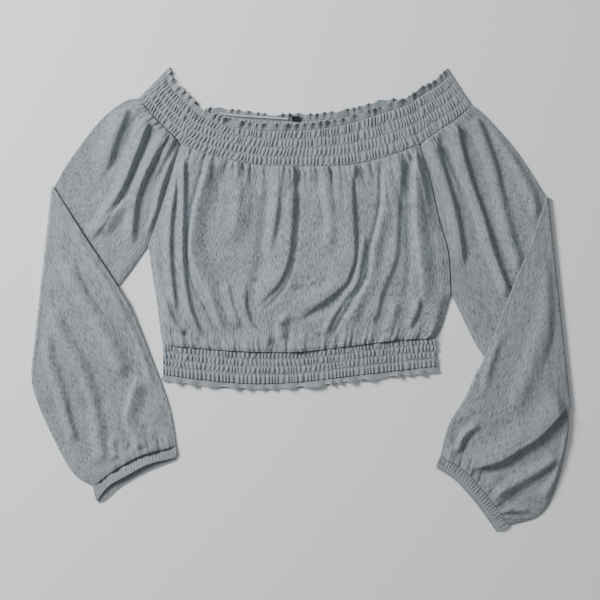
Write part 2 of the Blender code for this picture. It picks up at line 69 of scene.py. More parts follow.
# Borders of the body, left to right
NECK_SEAM = [(-143, 187), (-108, 174), (-60, 163), (0, 160), (60, 162), (108, 173), (143, 186)]
NECK_EDGE = [(-121, 221), (-90, 209), (-48, 203), (0, 203), (48, 209), (90, 221), (130, 234)]
BACK_SEAM = [(-143, 187), (-108, 179), (-60, 172), (0, 170), (60, 173), (108, 179), (143, 186)]
BACK_EDGE = [(-121, 221), (-104, 223), (-48, 216), (0, 215), (48, 218), (96, 230), (130, 234)]
WAIST_SEAM = [(-164, -54), (-120, -58), (-60, -62), (0, -62), (60, -55), (120, -48), (162, -46)]
WAIST_EDGE = [(-164, -89), (-120, -95), (-60, -100), (0, -98), (60, -91), (120, -84), (164, -79)]

# The body's sides, from the armpit down to the waist seam
SIDES = {
    "left": [(-182, 65), (-178, 36), (-172, 0), (-167, -41), (-164, -54)],
    "right": [(181, 7), (175, -14), (168, -36), (162, -46)],
}

# Border lines of each sleeve, all of them from the neck towards the cuff
SLEEVES = {
    "left": {
        "raglan": [(-143, 187), (-155, 148), (-167, 108), (-182, 65)],
        "underarm": [(-182, 65), (-218, 16), (-270, -37), (-323, -90)],
        "shoulder": [(-194, 242), (-211, 238), (-240, 215), (-276, 168), (-298, 136)],
        "band_seam": [(-143, 187), (-158, 202), (-176, 220), (-194, 242)],
        "band_edge": [(-121, 221), (-142, 241), (-157, 257), (-162, 274)],
        "inner": [(-298, 136), (-258, 77), (-218, 16), (-192, -36), (-172, -84), (-156, -130), (-148, -176)],
        "outer": [(-323, -90), (-320, -104), (-304, -148), (-274, -205), (-248, -224)],
        "cuff_seam": [(-248, -224), (-220, -203), (-188, -186), (-148, -176)],
        "cuff_edge": [(-244, -241), (-230, -223), (-210, -211), (-181, -196), (-147, -188)],
        "cuff_under_edge": [(-242, -243), (-234, -240), (-214, -223), (-184, -206), (-147, -191)],
    },
    "right": {
        "raglan": [(143, 186), (156, 144), (166, 100), (178, 56), (181, 7)],
        "underarm": [(181, 7), (221, -68), (276, -108), (325, -128)],
        "shoulder": [(206, 234), (221, 222), (258, 180), (298, 124)],
        "band_seam": [(143, 186), (165, 202), (188, 217), (206, 234)],
        "band_edge": [(130, 234), (149, 247), (168, 259), (181, 271)],
        "inner": [(298, 124), (276, 68), (248, 0), (221, -68), (200, -114), (178, -150), (168, -187)],
        "outer": [(325, -128), (320, -168), (308, -222), (288, -257), (251, -270)],
        "cuff_seam": [(251, -270), (226, -236), (200, -207), (168, -187)],
        "cuff_edge": [(239, -277), (217, -244), (190, -215), (163, -198)],
        "cuff_under_edge": [(236, -278), (213, -246), (187, -217), (162, -200)],
    },
}

# Creases: height, width on the left and right of the way the line runs, lengths over which it
# starts and ends, and its line. A trough has a height below nothing.
FRONT_FOLDS = [
    (6.0, 16, 2.5, 12, 35, [(-107, 172), (-126, 101), (-130, 55), (-113, 14), (-101, -20), (-88, -49)]),
    (-1.8, 2.5, 2.5, 12, 15, [(-115, 162), (-132, 101), (-136, 55), (-128, 19), (-115, -6), (-97, -41)]),
    (-2.0, 2.5, 3, 15, 8, [(-118, 29), (-104, -12), (-95, -35), (-80, -56)]),
    (4.5, 2.5, 7, 10, 25, [(-139, 172), (-139, 119), (-140, 50), (-132, -8), (-115, -49)]),
    (4.0, 2.5, 8, 10, 25, [(-148, 176), (-150, 133), (-155, 89), (-155, 44), (-148, -23)]),
    (4.0, 14, 12, 12, 30, [(-79, 180), (-74, 138), (-74, 102), (-86, 60)]),
    (-2.2, 9, 9, 15, 30, [(-40, 132), (-44, 62), (-54, 14), (-58, -18)]),
    (4.5, 5, 9, 10, 40, [(-23, 170), (-26, 138), (-30, 98), (-40, 46)]),
    (3.8, 2.5, 18, 12, 60, [(-8, 170), (-8, 119), (-10, 86), (-14, 50), (-24, 24), (-41, 4), (-64, -18)]),
    (-1.5, 2.5, 2.5, 12, 25, [(-1, 164), (-1, 119), (-2, 86), (-6, 50), (-14, 22), (-30, 0), (-49, -18)]),
    (3.6, 2.5, 14, 18, 12, [(-66, 22), (-65, -8), (-56, -31), (-29, -50)]),
    (3.5, 8, 6, 10, 10, [(-12, -14), (-24, -30), (-20, -50)]),
    (4.0, 3, 27, 12, 45, [(65, 164), (62, 133), (65, 62), (61, 38), (49, 16), (7, -16), (-8, -34)]),
    (-2.0, 8, 8, 12, 14, [(-14, 11), (22, 14), (38, 36)]),
    (-2.4, 8, 8, 12, 14, [(2, -20), (31, -10), (58, 12)]),
    (-2.2, 2.5, 3, 10, 15, [
        (96, 164), (96, 119), (90, 86), (83, 60), (80, 29), (62, -2), (46, -30), (38, -46),
    ]),
    (3.0, 3, 5, 15, 10, [(78, 82), (73, 46), (67, 20), (52, 0), (37, -24), (30, -43)]),
    (4.5, 12, 2.5, 10, 20, [(101, 164), (101, 119), (95, 86), (88, 60), (85, 29), (68, -5), (53, -31)]),
    (3.6, 5, 12, 10, 25, [(121, 172), (116, 109), (113, 53), (98, 14), (91, -12), (84, -36)]),
    (-2.0, 6, 6, 8, 30, [(131, 174), (130, 110), (131, 38), (125, -10)]),
    (6.0, 15, 4, 10, 30, [(140, 181), (138, 133), (140, 86), (145, 38), (150, -8)]),
    (-2.5, 3, 3, 6, 8, [(-170, -1), (-166, -18), (-157, -35), (-146, -44)]),
    (4.0, 6, 3, 8, 8, [(-163, 5), (-157, -17), (-149, -31), (-137, -42)]),
    (3.0, 9, 7, 10, 20, [(26, 168), (31, 132), (36, 90), (31, 54)]),
    (3.5, 8, 6, 15, 10, [(115, 4), (110, -22), (101, -41)]),
    (3.5, 4, 9, 15, 10, [(-89, 24), (-82, -6), (-72, -36)]),
    (3.5, 4, 7, 15, 10, [(145, 10), (138, -16), (128, -38)]),
]
UPPER_FOLDS = {
    "left": [
        (5.5, 6, 16, 10, 30, [(-206, 233), (-223, 188), (-235, 149)]),
        (-2.0, 4, 4, 10, 20, [(-197, 221), (-209, 186), (-234, 146), (-254, 113)]),
        (6.5, 3, 11, 10, 25, [(-180, 217), (-197, 173), (-215, 128), (-234, 95), (-253, 70)]),
        (-2.5, 3, 3, 10, 20, [(-178, 202), (-188, 176), (-204, 144), (-222, 114), (-242, 86)]),
        (5.0, 10, 5, 15, 20, [(-200, 125), (-221, 104), (-242, 74)]),
        (6.0, 4, 10, 10, 25, [(-157, 202), (-179, 164), (-194, 128), (-200, 92), (-200, 60)]),
        (-2.0, 4, 4, 10, 20, [(-146, 191), (-170, 146), (-186, 114), (-188, 82)]),
        (4.5, 3, 6, 8, 20, [(-140, 188), (-155, 158), (-166, 132), (-173, 103), (-184, 74)]),
    ],
    "right": [
        (6.0, 4, 11, 10, 35, [(161, 192), (173, 149), (185, 106), (191, 73), (197, 30)]),
        (-2.5, 5, 4, 10, 25, [
            (167, 199), (180, 168), (192, 142), (200, 114), (211, 77), (222, 46), (241, 4),
        ]),
        (6.5, 2.5, 12, 10, 20, [(186, 212), (200, 155), (217, 106), (230, 62), (245, 22), (256, 0)]),
        (-3.0, 4, 3, 12, 12, [(221, 114), (229, 89), (238, 61), (250, 31), (259, 7)]),
        (5.0, 8, 9, 10, 20, [(209, 221), (230, 162), (244, 102), (257, 58), (269, 30)]),
        (-2.5, 5, 4, 10, 15, [(214, 223), (235, 174), (247, 132), (263, 98), (277, 67)]),
        (5.0, 10, 8, 10, 20, [(226, 226), (254, 174), (274, 130), (288, 94)]),
    ],
}
LOWER_FOLDS = {
    "left": [
        (-2.5, 6, 5, 20, 25, [
            (-271, 66), (-259, 30), (-244, 0), (-224, -19), (-209, -38), (-194, -70), (-182, -102),
        ]),
        (4.0, 9, 9, 20, 30, [(-269, 89), (-242, 46), (-218, 5), (-198, -32), (-184, -70), (-173, -110)]),
        (-3.0, 6, 6, 25, 10, [
            (-298, 19), (-286, -4), (-271, -25), (-258, -48), (-246, -79), (-226, -110), (-214, -130),
        ]),
        (5.0, 12, 10, 25, 20, [(-283, 50), (-262, 7), (-239, -29), (-222, -62), (-209, -96)]),
        (-2.5, 6, 6, 20, 20, [(-292, -50), (-278, -73), (-268, -96), (-259, -118), (-247, -144)]),
        (-3.0, 6, 6, 15, 15, [(-274, -115), (-269, -145), (-259, -170), (-251, -192)]),
        (5.0, 10, 10, 25, 15, [
            (-300, -5), (-283, -43), (-263, -79), (-251, -113), (-244, -144), (-239, -175), (-235, -199),
        ]),
        (4.0, 8, 9, 25, 15, [(-308, -36), (-298, -72), (-287, -108), (-278, -142), (-268, -173)]),
        (6.0, 14, 3, 18, 10, [(-194, -89), (-203, -118), (-208, -144), (-198, -164), (-192, -182)]),
        (-3.0, 3, 3, 8, 8, [(-215, -130), (-214, -146), (-209, -160), (-203, -169), (-206, -181)]),
        (3.5, 5, 6, 10, 8, [(-226, -163), (-223, -180), (-220, -194)]),
    ],
    "right": [
        (7.5, 2.5, 26, 14, 20, [
            (325, -124), (314, -134), (296, -154), (282, -167), (268, -176), (253, -186), (239, -193),
            (223, -198), (204, -202),
        ]),
        (-2.5, 6, 3, 10, 10, [
            (319, -137), (300, -160), (286, -173), (271, -182), (257, -192), (242, -199), (226, -205),
            (211, -210),
        ]),
        (5.5, 7, 9, 12, 15, [(311, -186), (286, -204), (264, -216), (244, -227), (228, -234)]),
        (-2.5, 6, 6, 12, 12, [(307, -199), (288, -217), (269, -230), (247, -240)]),
        (3.5, 3, 6, 8, 8, [(277, -254), (260, -251), (244, -253)]),
        (-2.5, 3, 3, 6, 6, [(275, -259), (259, -257), (242, -258)]),
        (-3.0, 4, 5, 8, 8, [(209, -144), (193, -150), (186, -162), (184, -178)]),
        (4.0, 5, 5, 8, 8, [(216, -148), (202, -156), (193, -168), (188, -185)]),
        (-2.5, 4, 4, 8, 8, [(212, -158), (200, -168), (196, -182)]),
        (4.0, 14, 14, 25, 40, [(302, 54), (296, -18), (274, -86), (250, -144)]),
        (-2.0, 9, 9, 25, 25, [(312, 0), (307, -54), (294, -102)]),
        (-2.5, 8, 9, 25, 25, [(259, -36), (245, -86), (250, -134)]),
        (3.5, 8, 8, 25, 25, [(240, -36), (224, -78), (221, -118)]),
        (-2.0, 6, 6, 15, 15, [(220, -62), (209, -94), (214, -115)]),
        (4.0, 8, 8, 15, 12, [(325, -156), (319, -186), (304, -218), (289, -240)]),
    ],
}

# Gathers, finest row first: spacing along the seam, how far they reach from it and how high they stand
NECK_GATHERS = [(5.2, 11, 2.2), (6.0, 30, 4.0), (12.5, 54, 4.0)]
WAIST_GATHERS = [(4.9, 12, 2.2), (6.0, 24, 4.2), (12.0, 38, 3.2)]
CUFF_GATHERS = [(3.8, 9, 1.6), (6.0, 22, 3.4), (12.0, 38, 2.6)]
GATHER_DRIFT = 60.0
SEAM_PINCH = 5.0
SEAM_SHARE = 0.7
SWELL_SIZE = 38.0
SWELL_RISE = 0.9
PANEL_PUFF = 2.5
PUFF_REACH = 40.0
EDGE_FADE = 11.0
DIP_WIDTH = 7.0

# How finely each piece is divided
PANEL_COLUMNS = 210
RAGLAN_ROWS = 92
SIDE_ROWS = 92
SLEEVE_COLUMNS = 80
UPPER_RAGLAN_ROWS = 55
UPPER_ARM_ROWS = 55
LOWER_ROWS = 132
BAND_ROWS = 44
WAIST_ROWS = 40
SHOULDER_ROWS = 36
CUFF_ROWS = 10
PLEAT_COLUMNS = 7
LOW_PLEAT_COLUMNS = 6
BACK_COLUMNS = 60
BACK_ROWS = 24
BACK_BAND_ROWS = 20
BACK_WAIST_ROWS = 12

# Pleats across and rows of puffs down the bands and cuffs, and the share of the waist band below
# its last elastic thread
NECK_PLEATS = 58
SHOULDER_PLEATS = 16
WAIST_PLEATS = 68
BACK_NECK_PLEATS = 48
BACK_WAIST_PLEATS = 40
CUFF_PLEATS = 30
BAND_PUFFS = 4
WAIST_PUFFS = 3
WAIST_FREE = 0.28

# How far the back panel and its bands stand up: all over, where covered and where they show
BACK_LIFT = 0.25
COVERED_PUFF = 0.75
SHOWN_PUFF = 1.1

# The cuffs' puffs, and how far each cuff stands open
CUFF_PUFF = 1.5
CUFF_OPENING = {"left": 4.0, "right": 1.5}

# Where each sleeve is folded over itself, as in the solids
BEND_AXIS = 3.1
BEND_ANGLES = (60, 120, 180)
RING_ANGLES = (60, 25, -10, -45, -75)
REST_LEVEL = 4.8
REST_REACH = 25.0
DROP_START = 4.0
DROP_END = 22.0
BRIDGE_END = 95.0
COVERED_RISE = 1.4
COVERED_SLOPE = 0.6
SHOULDER_SHARE = 0.5
BEND_FADE = 16.0

# Frilled edges
FRILL_HEIGHT = 9.0
HEM_HEIGHT = 8.0
HEM_WAYS = [(-0.35, -0.94), (0.35, -0.94)]
FRILL_TURN = 0.08
FRILL_ROWS = 7
WAVE_COLUMNS = 14
NECK_WAVES = 23
BACK_NECK_WAVES = 22
SHOULDER_WAVES = 7
HEM_WAVES = 17
NECK_CURL = 2.4
HEM_CURL = 1.4

# The hanger loop and the plain label inside the back of the neck
LOOP_ROUTE = [(-97, 224), (-80, 221.5), (-60, 220), (-36, 218.5), (-14, 217)]
LOOP_POINTS = 40
LOOP_WIDTH = 2.0
LOOP_LEVEL = 3.1
LABEL_SIZE = (9.6, 6.2, 0.6)
LABEL_CENTRE = (-5.0, 217.2, 3.0)
LABEL_CURL = 0.9
LABEL_CELLS = (24, 14)
RIBBON_EDGE = 0.15

# Finish of each cloth slot: name, shares of the colour for the painted shade in the crinkles and the painted
# highlight on their crests, streaks for each metre across and along, and the relief's height in millimetres
# and its strength
CLOTH_FINISHES = {
    "crinkle_cloth": ("crinkled cloth", 0.42, 1.65, 640, 150, 1.9, 1.0),
    "shirred_cloth": ("shirred cloth", 0.75, 1.35, 700, 170, 0.6, 0.8),
    "frill_edge": ("frill cloth", 0.8, 1.35, 700, 220, 0.4, 0.7),
}

# The stage, in metres
FLOOR_REACH = 4.0
LAMP_PLACE = (-1.5, 0.9, 1.3)
LAMP_SIZE = 0.9
SKY_COLOUR = (0.95, 0.97, 1.0)


def smooth(value):
    """A soft step from 0 to 1."""
    value = np.clip(value, 0.0, 1.0)
    return value * value * (3 - 2 * value)


def curve(points, count):
    """Evenly spaced points along a smooth curve through the given ones."""
    knots = np.array(points, float)
    ends = np.vstack([2 * knots[0] - knots[1], knots, 2 * knots[-1] - knots[-2]])
    t = np.linspace(0, 1, 24, endpoint=False)[:, None]
    fine = []
    for a, b, c, d in zip(ends, ends[1:], ends[2:], ends[3:]):
        cubic = (2 * a - 5 * b + 4 * c - d) * t**2 + (3 * b - a - 3 * c + d) * t**3
        fine.append(0.5 * (2 * b + (c - a) * t + cubic))
    fine = np.vstack([*fine, knots[-1:]])
    length = np.r_[0, np.cumsum(np.hypot(*np.diff(fine, axis=0).T))]
    at = np.linspace(0, length[-1], count)
    return np.column_stack([np.interp(at, length, fine[:, axis]) for axis in (0, 1)])


def joined(*lines):
    """Lines laid end to end, with each shared point kept once."""
    return np.vstack([lines[0], *(line[1:] for line in lines[1:])])


def patch(top, bottom, left, right):
    """Plan points that fill four borders: rows from top to bottom, columns from left to right."""
    u = np.linspace(0, 1, len(top))[None, :, None]
    v = np.linspace(0, 1, len(left))[:, None, None]
    ruled = (1 - v) * top[None] + v * bottom[None] + (1 - u) * left[:, None] + u * right[:, None]
    upper = (1 - v) * ((1 - u) * top[0] + u * top[-1])
    lower = v * ((1 - u) * bottom[0] + u * bottom[-1])
    return ruled - upper - lower


def loft(top, bottom, rows):
    """Plan points on straight lines from one border to the other."""
    share = np.linspace(0, 1, rows + 1)[:, None, None]
    return (1 - share) * top[None] + share * bottom[None]


def unit(vectors):
    return vectors / np.maximum(np.linalg.norm(vectors, axis=-1, keepdims=True), 1e-9)


def trimmed(plan, top=0.0, bottom=0.0, left=0.0, right=0.0):
    """The plan squeezed in from its borders by these distances, so that its cells stay in order."""
    plan = plan.copy()
    for axis, first, last in ((0, top, bottom), (1, left, right)):
        lines = np.moveaxis(plan, axis, 0)
        length = np.linalg.norm(np.diff(lines, axis=0), axis=-1).sum(0)[:, None]
        share = np.linspace(0, 1, len(lines))[:, None, None]
        start = first * unit(lines[1] - lines[0])
        end = last * unit(lines[-2] - lines[-1])
        reach = np.minimum(24.0 / np.maximum(length, 24.0), 1.0)
        lines += start * smooth(1 - share / reach) + end * smooth(1 - (1 - share) / reach)
    return plan


def left_normals(line):
    """Unit normals that point to the left of the way the line runs."""
    along = np.gradient(line, axis=0)
    return unit(np.column_stack([-along[:, 1], along[:, 0]]))


def from_line(plan, line):
    """Distance of each plan point from a line, positive on its left, and its share of the way along."""
    flat = plan.reshape(-1, 2)
    step = np.diff(line, axis=0)
    best = np.full(len(flat), np.inf)
    signed = np.zeros(len(flat))
    along = np.zeros(len(flat))
    for number, (start, way) in enumerate(zip(line[:-1], step)):
        to_point = flat - start
        part = np.clip(to_point @ way / (way @ way), 0, 1)
        distance = np.linalg.norm(to_point - part[:, None] * way, axis=1)
        side = np.sign(way[0] * to_point[:, 1] - way[1] * to_point[:, 0])
        nearer = distance < best
        best = np.where(nearer, distance, best)
        signed = np.where(nearer, distance * side, signed)
        along = np.where(nearer, part + number, along)
    shape = plan.shape[:-1]
    return signed.reshape(shape), along.reshape(shape) / len(step)


def soft_noise(x, y, seed):
    """Smooth random values from -1 to 1 over the plane, one cell to a unit."""
    draws = np.random.default_rng(seed).uniform(-1, 1, (97, 89))
    column = np.floor(x).astype(int)
    row = np.floor(y).astype(int)
    across = smooth(x - column)
    down = smooth(y - row)
    near = draws[column % 97, row % 89] * (1 - across) + draws[(column + 1) % 97, row % 89] * across
    row = row + 1
    far = draws[column % 97, row % 89] * (1 - across) + draws[(column + 1) % 97, row % 89] * across
    return near * (1 - down) + far * down


def fold_height(plan, folds, scale):
    """Height that the creases add at each plan point."""
    total = np.zeros(plan.shape[:-1])
    for height, left_width, right_width, start, end, points in folds:
        line = curve(points, 8 * len(points))
        length = np.linalg.norm(np.diff(line, axis=0), axis=1).sum()
        distance, along = from_line(plan, line)
        run = along * length
        width = np.where(distance > 0, left_width, right_width)
        taper = smooth(run / start) * smooth((length - run) / end)
        total += height * scale * taper * smooth(1 - np.abs(distance) / (1.35 * width))
    return total


def swell(plan, seed):
    """Slow rise and fall of cloth that doesn't lie quite flat."""
    x = plan[..., 0] / SWELL_SIZE
    y = plan[..., 1] / SWELL_SIZE
    broad = soft_noise(x + 40, y + 40, seed)
    fine = soft_noise(2 * x + 80, 2 * y + 80, seed + 1)
    return SWELL_RISE * (broad + 0.5 * fine)


def seam_run(plan, row):
    """Length along one row of the plan, the same all the way down each column."""
    steps = np.linalg.norm(np.diff(plan[row], axis=0), axis=1)
    return np.broadcast_to(np.r_[0, np.cumsum(steps)], plan.shape[:2])


def gathers(run, distance, rows, seed):
    """Small folds that start at a gathered seam, join as they leave it and run out.

    The finest row is an even wave that drifts, and the others are as uneven as noise.
    """
    total = np.zeros(run.shape)
    for number, (spacing, reach, rise) in enumerate(rows):
        wave = soft_noise(run / spacing, 3 + distance / GATHER_DRIFT, seed + number)
        if number == 0:
            drift = 0.7 * soft_noise(run / 13, distance / 12 + 6, seed + 20)
            wave = (0.5 - 0.5 * np.cos(2 * math.pi * (run / spacing + drift))) * (0.7 + 0.3 * wave)
        far = reach * (1.0 + 0.55 * soft_noise(run / (1.7 * spacing), 0 * run, seed + 9 + number))
        total += rise * np.abs(wave) ** 0.7 * np.exp(-((distance / far) ** 1.6))
    return total * (SEAM_SHARE + (1 - SEAM_SHARE) * smooth(distance / SEAM_PINCH))


def shirring(rows, columns, pleats, puffs, seed, free=0.0):
    """Shirred cloth, from 0 in its valleys to 1: rows of small puffs pinched by elastic thread.

    The share of the width called free lies past the last thread.
    """
    elastic = puffs / (1 - free)
    down = np.broadcast_to(np.linspace(0, elastic, rows)[:, None], (rows, columns))
    across = np.broadcast_to(np.linspace(0, pleats, columns)[None, :], (rows, columns))
    level = np.minimum(np.floor(down), puffs - 1)
    part = np.minimum(down - level, 1)
    settled = level + smooth((part - 0.72) / 0.28)
    drift = 0.75 * soft_noise(0.42 * across, 3.7 * settled + 5, seed)
    lean = 0.5 * (part - 0.5) * soft_noise(0.16 * across, 2.3 * settled + 9, seed + 1)
    wave = 0.5 - 0.5 * np.cos(2 * math.pi * (across + drift + lean))
    size = 0.72 + 0.28 * soft_noise(0.9 * across, 5.1 * settled + 2, seed + 2)
    pinch = 0.34 + 0.66 * np.clip(np.sin(math.pi * part), 0, 1) ** 0.5
    pinch = np.where(down > puffs, 0.34 + 0.66 * smooth((down - puffs) / 0.5), pinch)
    return wave**0.5 * size * pinch


def raised(plan, height):
    """Plan points lifted to a height, which may be one number."""
    return np.dstack([plan, np.broadcast_to(height, plan.shape[:2])])


def folded(front, back, outward, front_z, back_z):
    """One face of a strip that runs along its front, round a fold and back along its rear."""
    front_z = np.broadcast_to(front_z, front.shape[:2])
    back_z = np.broadcast_to(back_z, back.shape[:2])
    radius = (front_z[:, -1] - back_z[:, -1]) / 2
    middle = (front_z[:, -1] + back_z[:, -1]) / 2
    ring = []
    for angle in np.radians(RING_ANGLES):
        place = front[:, -1] + (np.abs(radius) * math.cos(angle))[:, None] * outward
        ring.append(np.column_stack([place, middle + radius * math.sin(angle)])[:, None])
    return np.concatenate([raised(front, front_z), *ring, raised(back, back_z)[:, ::-1]], axis=1)


def cloth_lengths(points):
    """Length of cloth across and along from the first corner, in metres, at each point."""
    across = np.linalg.norm(np.diff(points, axis=1), axis=-1).mean(axis=0)
    along = np.linalg.norm(np.diff(points, axis=0), axis=-1).mean(axis=1)
    u = np.r_[0, np.cumsum(across)] * MM
    v = np.r_[0, np.cumsum(along)] * MM
    return u, v


def cloth_mesh(name, outside, inside):
    """A closed wall of cloth between its outer and inner points, with the cloth's own lengths as UVs."""
    rows, columns = outside.shape[:2]
    cells = bmesh.new()
    bmesh.ops.create_grid(cells, x_segments=columns - 1, y_segments=rows - 1, size=1)
    extruded = bmesh.ops.extrude_face_region(cells, geom=cells.faces[:], use_keep_orig=True)
    far = {item for item in extruded["geom"] if isinstance(item, bmesh.types.BMVert)}
    u, v = cloth_lengths(outside)
    lengths = []
    for vert in cells.verts:
        column = round((vert.co.x + 1) / 2 * (columns - 1))
        row = round((vert.co.y + 1) / 2 * (rows - 1))
        place = inside if vert in far else outside
        vert.co = place[row, column] * MM
        lengths.append((u[column], v[row]))
    bmesh.ops.recalc_face_normals(cells, faces=cells.faces)
    if cells.calc_volume(signed=True) < 0:
        bmesh.ops.reverse_faces(cells, faces=cells.faces)
    data = bpy.data.meshes.new(name)
    cells.to_mesh(data)
    cells.free()
    corners = np.empty(len(data.loops), int)
    data.loops.foreach_get("vertex_index", corners)
    layer = data.uv_layers.new(name="cloth lengths")
    layer.data.foreach_set("uv", np.array(lengths, np.float32)[corners].ravel())
    data.shade_smooth()
    return data


def shown(name, data, finish):
    made = bpy.data.objects.new(name, data)
    data.materials.append(finish)
    bpy.context.scene.collection.objects.link(made)
    return made


def placed(made, slot, *nodes):
    """Ties a piece to the body and hides the solids that it stands for. The slot is not used."""
    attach(made, "root")
    if nodes:
        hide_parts(*nodes)
    return made


def edge_thread(name, points, radius, finish):
    """A round of overlocking thread along an edge."""
    data = bpy.data.curves.new(name, "CURVE")
    data.dimensions = "3D"
    data.bevel_depth = radius * MM
    data.bevel_resolution = 1
    data.use_fill_caps = True
    line = data.splines.new("POLY")
    line.points.add(len(points) - 1)
    for point, place in zip(line.points, points):
        point.co = (*(float(value) * MM for value in place), 1)
    return placed(shown(name, data, finish), "frill_edge")


def panel_plan(top_line, columns, raglan_rows, side_rows):
    """Plan of a body panel: its sides follow the raglan seams and then the side seams."""
    sides = {}
    for side, border in SLEEVES.items():
        raglan = curve(border["raglan"], raglan_rows + 1)
        sides[side] = joined(raglan, curve(SIDES[side], side_rows + 1))
    top = curve(top_line, columns + 1)
    bottom = curve(WAIST_SEAM, columns + 1)
    plan = patch(top, bottom, sides["left"], sides["right"])
    return trimmed(plan, top=SEAM, bottom=SEAM, left=SEAM, right=SEAM)


def edge_distance(plan):
    """Distance of each point from the nearer end of its row."""
    from_start = np.linalg.norm(plan - plan[:, :1], axis=-1)
    from_end = np.linalg.norm(plan - plan[:, -1:], axis=-1)
    return np.minimum(from_start, from_end)


def turn_of(side):
    """+1 on the left and -1 on the right, where the same lines run the other way round."""
    return 1 if side == "left" else -1


def bend_frame(side):
    """Ends of the line that a sleeve is folded over, and the way its fold points."""
    border = SLEEVES[side]
    low = np.array(border["underarm"][-1], float)
    high = np.array(border["shoulder"][-1], float)
    along = unit(high - low)
    outward = turn_of(side) * np.array([-along[1], along[0]])
    return low - BEND_AXIS * outward, high - BEND_AXIS * outward, along, outward


def edge_normals(line, sign, bend_way, at_end):
    """Outward normals of a folded edge, turned to lie along the bend where it reaches it."""
    normals = sign * left_normals(line)
    share = np.linspace(1, 0, len(line)) if at_end else np.linspace(0, 1, len(line))
    weight = smooth(1 - share / 0.12)[:, None]
    return unit((1 - weight) * normals + weight * bend_way)


def upper_sleeve_plan(side):
    """Plan of the sleeve from neck band to bend, from its inner edge out to its shoulder fold."""
    border = SLEEVES[side]
    low, high, along, _ = bend_frame(side)
    underarm = curve([*border["underarm"][:-1], low], UPPER_ARM_ROWS + 1)
    inner = joined(curve(border["raglan"], UPPER_RAGLAN_ROWS + 1), underarm)
    fold = curve([*border["shoulder"][:-1], high], 2001)
    shares = joined(
        np.linspace(0, SHOULDER_SHARE, UPPER_RAGLAN_ROWS + 1)[:, None],
        np.linspace(SHOULDER_SHARE, 1, UPPER_ARM_ROWS + 1)[:, None],
    )
    outer = fold[np.rint(2000 * shares[:, 0]).astype(int)]
    outward = edge_normals(outer, -turn_of(side), along, True)
    top = curve(border["band_seam"], SLEEVE_COLUMNS + 1)
    bottom = np.linspace(low, high, SLEEVE_COLUMNS + 1)
    start = smooth(1 - np.linspace(0, 1, len(outer)) / 0.1)[:, None]
    outward = unit((1 - start) * outward + start * unit(top[-1] - top[-2]))
    plan = patch(top, bottom, inner, outer)
    share = np.linspace(0, 1, SLEEVE_COLUMNS + 1)[None, :, None]
    plan -= smooth(5 * share - 4) * FRONT_TOP / 2 * outward[:, None]
    away = smooth(1 - 20 * share) * SEAM * unit(plan[:, 1:2] - plan[:, :1])
    rows = np.linspace(1, 0, len(plan))[:, None, None]
    return plan + away * smooth(6 * rows), outward


def lower_sleeve_plan(side):
    """Plan of the sleeve from bend to cuff, from its seam edge to its folded edge."""
    border = SLEEVES[side]
    low, high, along, _ = bend_frame(side)
    seam_edge = curve([low, *border["outer"][1:]], LOWER_ROWS + 1)
    fold_edge = curve([high, *border["inner"][1:]], LOWER_ROWS + 1)
    outward = edge_normals(fold_edge, turn_of(side), along, False)
    top = np.linspace(low, high, SLEEVE_COLUMNS + 1)
    bottom = curve(border["cuff_seam"], SLEEVE_COLUMNS + 1)
    plan = patch(top, bottom, seam_edge, fold_edge)
    share = np.linspace(0, 1, SLEEVE_COLUMNS + 1)[None, :, None]
    plan -= smooth(5 * share - 4) * FRONT_TOP / 2 * outward[:, None]
    return plan, outward


def bend_distance(side, plan):
    low, high, _, _ = bend_frame(side)
    return np.abs(from_line(plan, np.array([low, high]))[0])


def rest_height(side, plan, drop_end=DROP_END):
    """Height of what the lower sleeve lies on: the upper sleeve, and the surface beyond its edge."""
    border = SLEEVES[side]
    start = 2 * BEND_AXIS - FRONT_TOP
    on_sleeve = start + (REST_LEVEL - start) * smooth(bend_distance(side, plan) / REST_REACH)
    beyond = turn_of(side) * from_line(plan, curve(border["underarm"], 40))[0]
    drop = smooth((drop_end - beyond) / (drop_end - DROP_START))
    return on_sleeve * drop


def upper_relief(side, plan, scale):
    """Creases of the upper sleeve, which lie low where the lower sleeve covers them."""
    border = SLEEVES[side]
    below_band = np.linalg.norm(plan - plan[:1], axis=-1)
    relief = fold_height(plan, UPPER_FOLDS[side], scale) + swell(plan, 31)
    relief += gathers(seam_run(plan, 0), below_band, NECK_GATHERS, 21)
    uncovered = turn_of(side) * from_line(plan, curve(border["inner"], 60))[0]
    relief = np.minimum(relief, COVERED_RISE + COVERED_SLOPE * np.maximum(uncovered, 0))
    relief = np.maximum(relief, -0.4)
    relief *= smooth(bend_distance(side, plan) / BEND_FADE)
    return relief * smooth(edge_distance(plan) / EDGE_FADE)


def lower_relief(side, plan, scale):
    """Creases of the lower sleeve and the gathers above its cuff."""
    above_cuff = np.linalg.norm(plan - plan[-1:], axis=-1)
    relief = fold_height(plan, LOWER_FOLDS[side], scale) + swell(plan, 51)
    relief += gathers(seam_run(plan, -1), above_cuff, CUFF_GATHERS, 41)
    relief = np.maximum(relief, -0.4)
    relief *= smooth(bend_distance(side, plan) / BEND_FADE)
    return relief * smooth(edge_distance(plan) / EDGE_FADE)


def bent(section, angle, side):
    """The section at the bend line, turned about it by this angle."""
    _, _, _, outward = bend_frame(side)
    radius = BEND_AXIS - section[:, 2]
    turned = section.copy()
    turned[:, :2] += (radius * math.sin(angle))[:, None] * outward
    turned[:, 2] = BEND_AXIS - radius * math.cos(angle)
    return turned


def seam_dip(side, plan):
    """How far the open edge of a layer comes down to close the underarm seam."""
    from_seam = np.linalg.norm(plan - plan[:, :1], axis=-1)
    at_seam = smooth(1 - from_seam / DIP_WIDTH)
    return (FRONT_TOP - TWO_LAYERS) * at_seam * smooth(bend_distance(side, plan) / BEND_FADE)


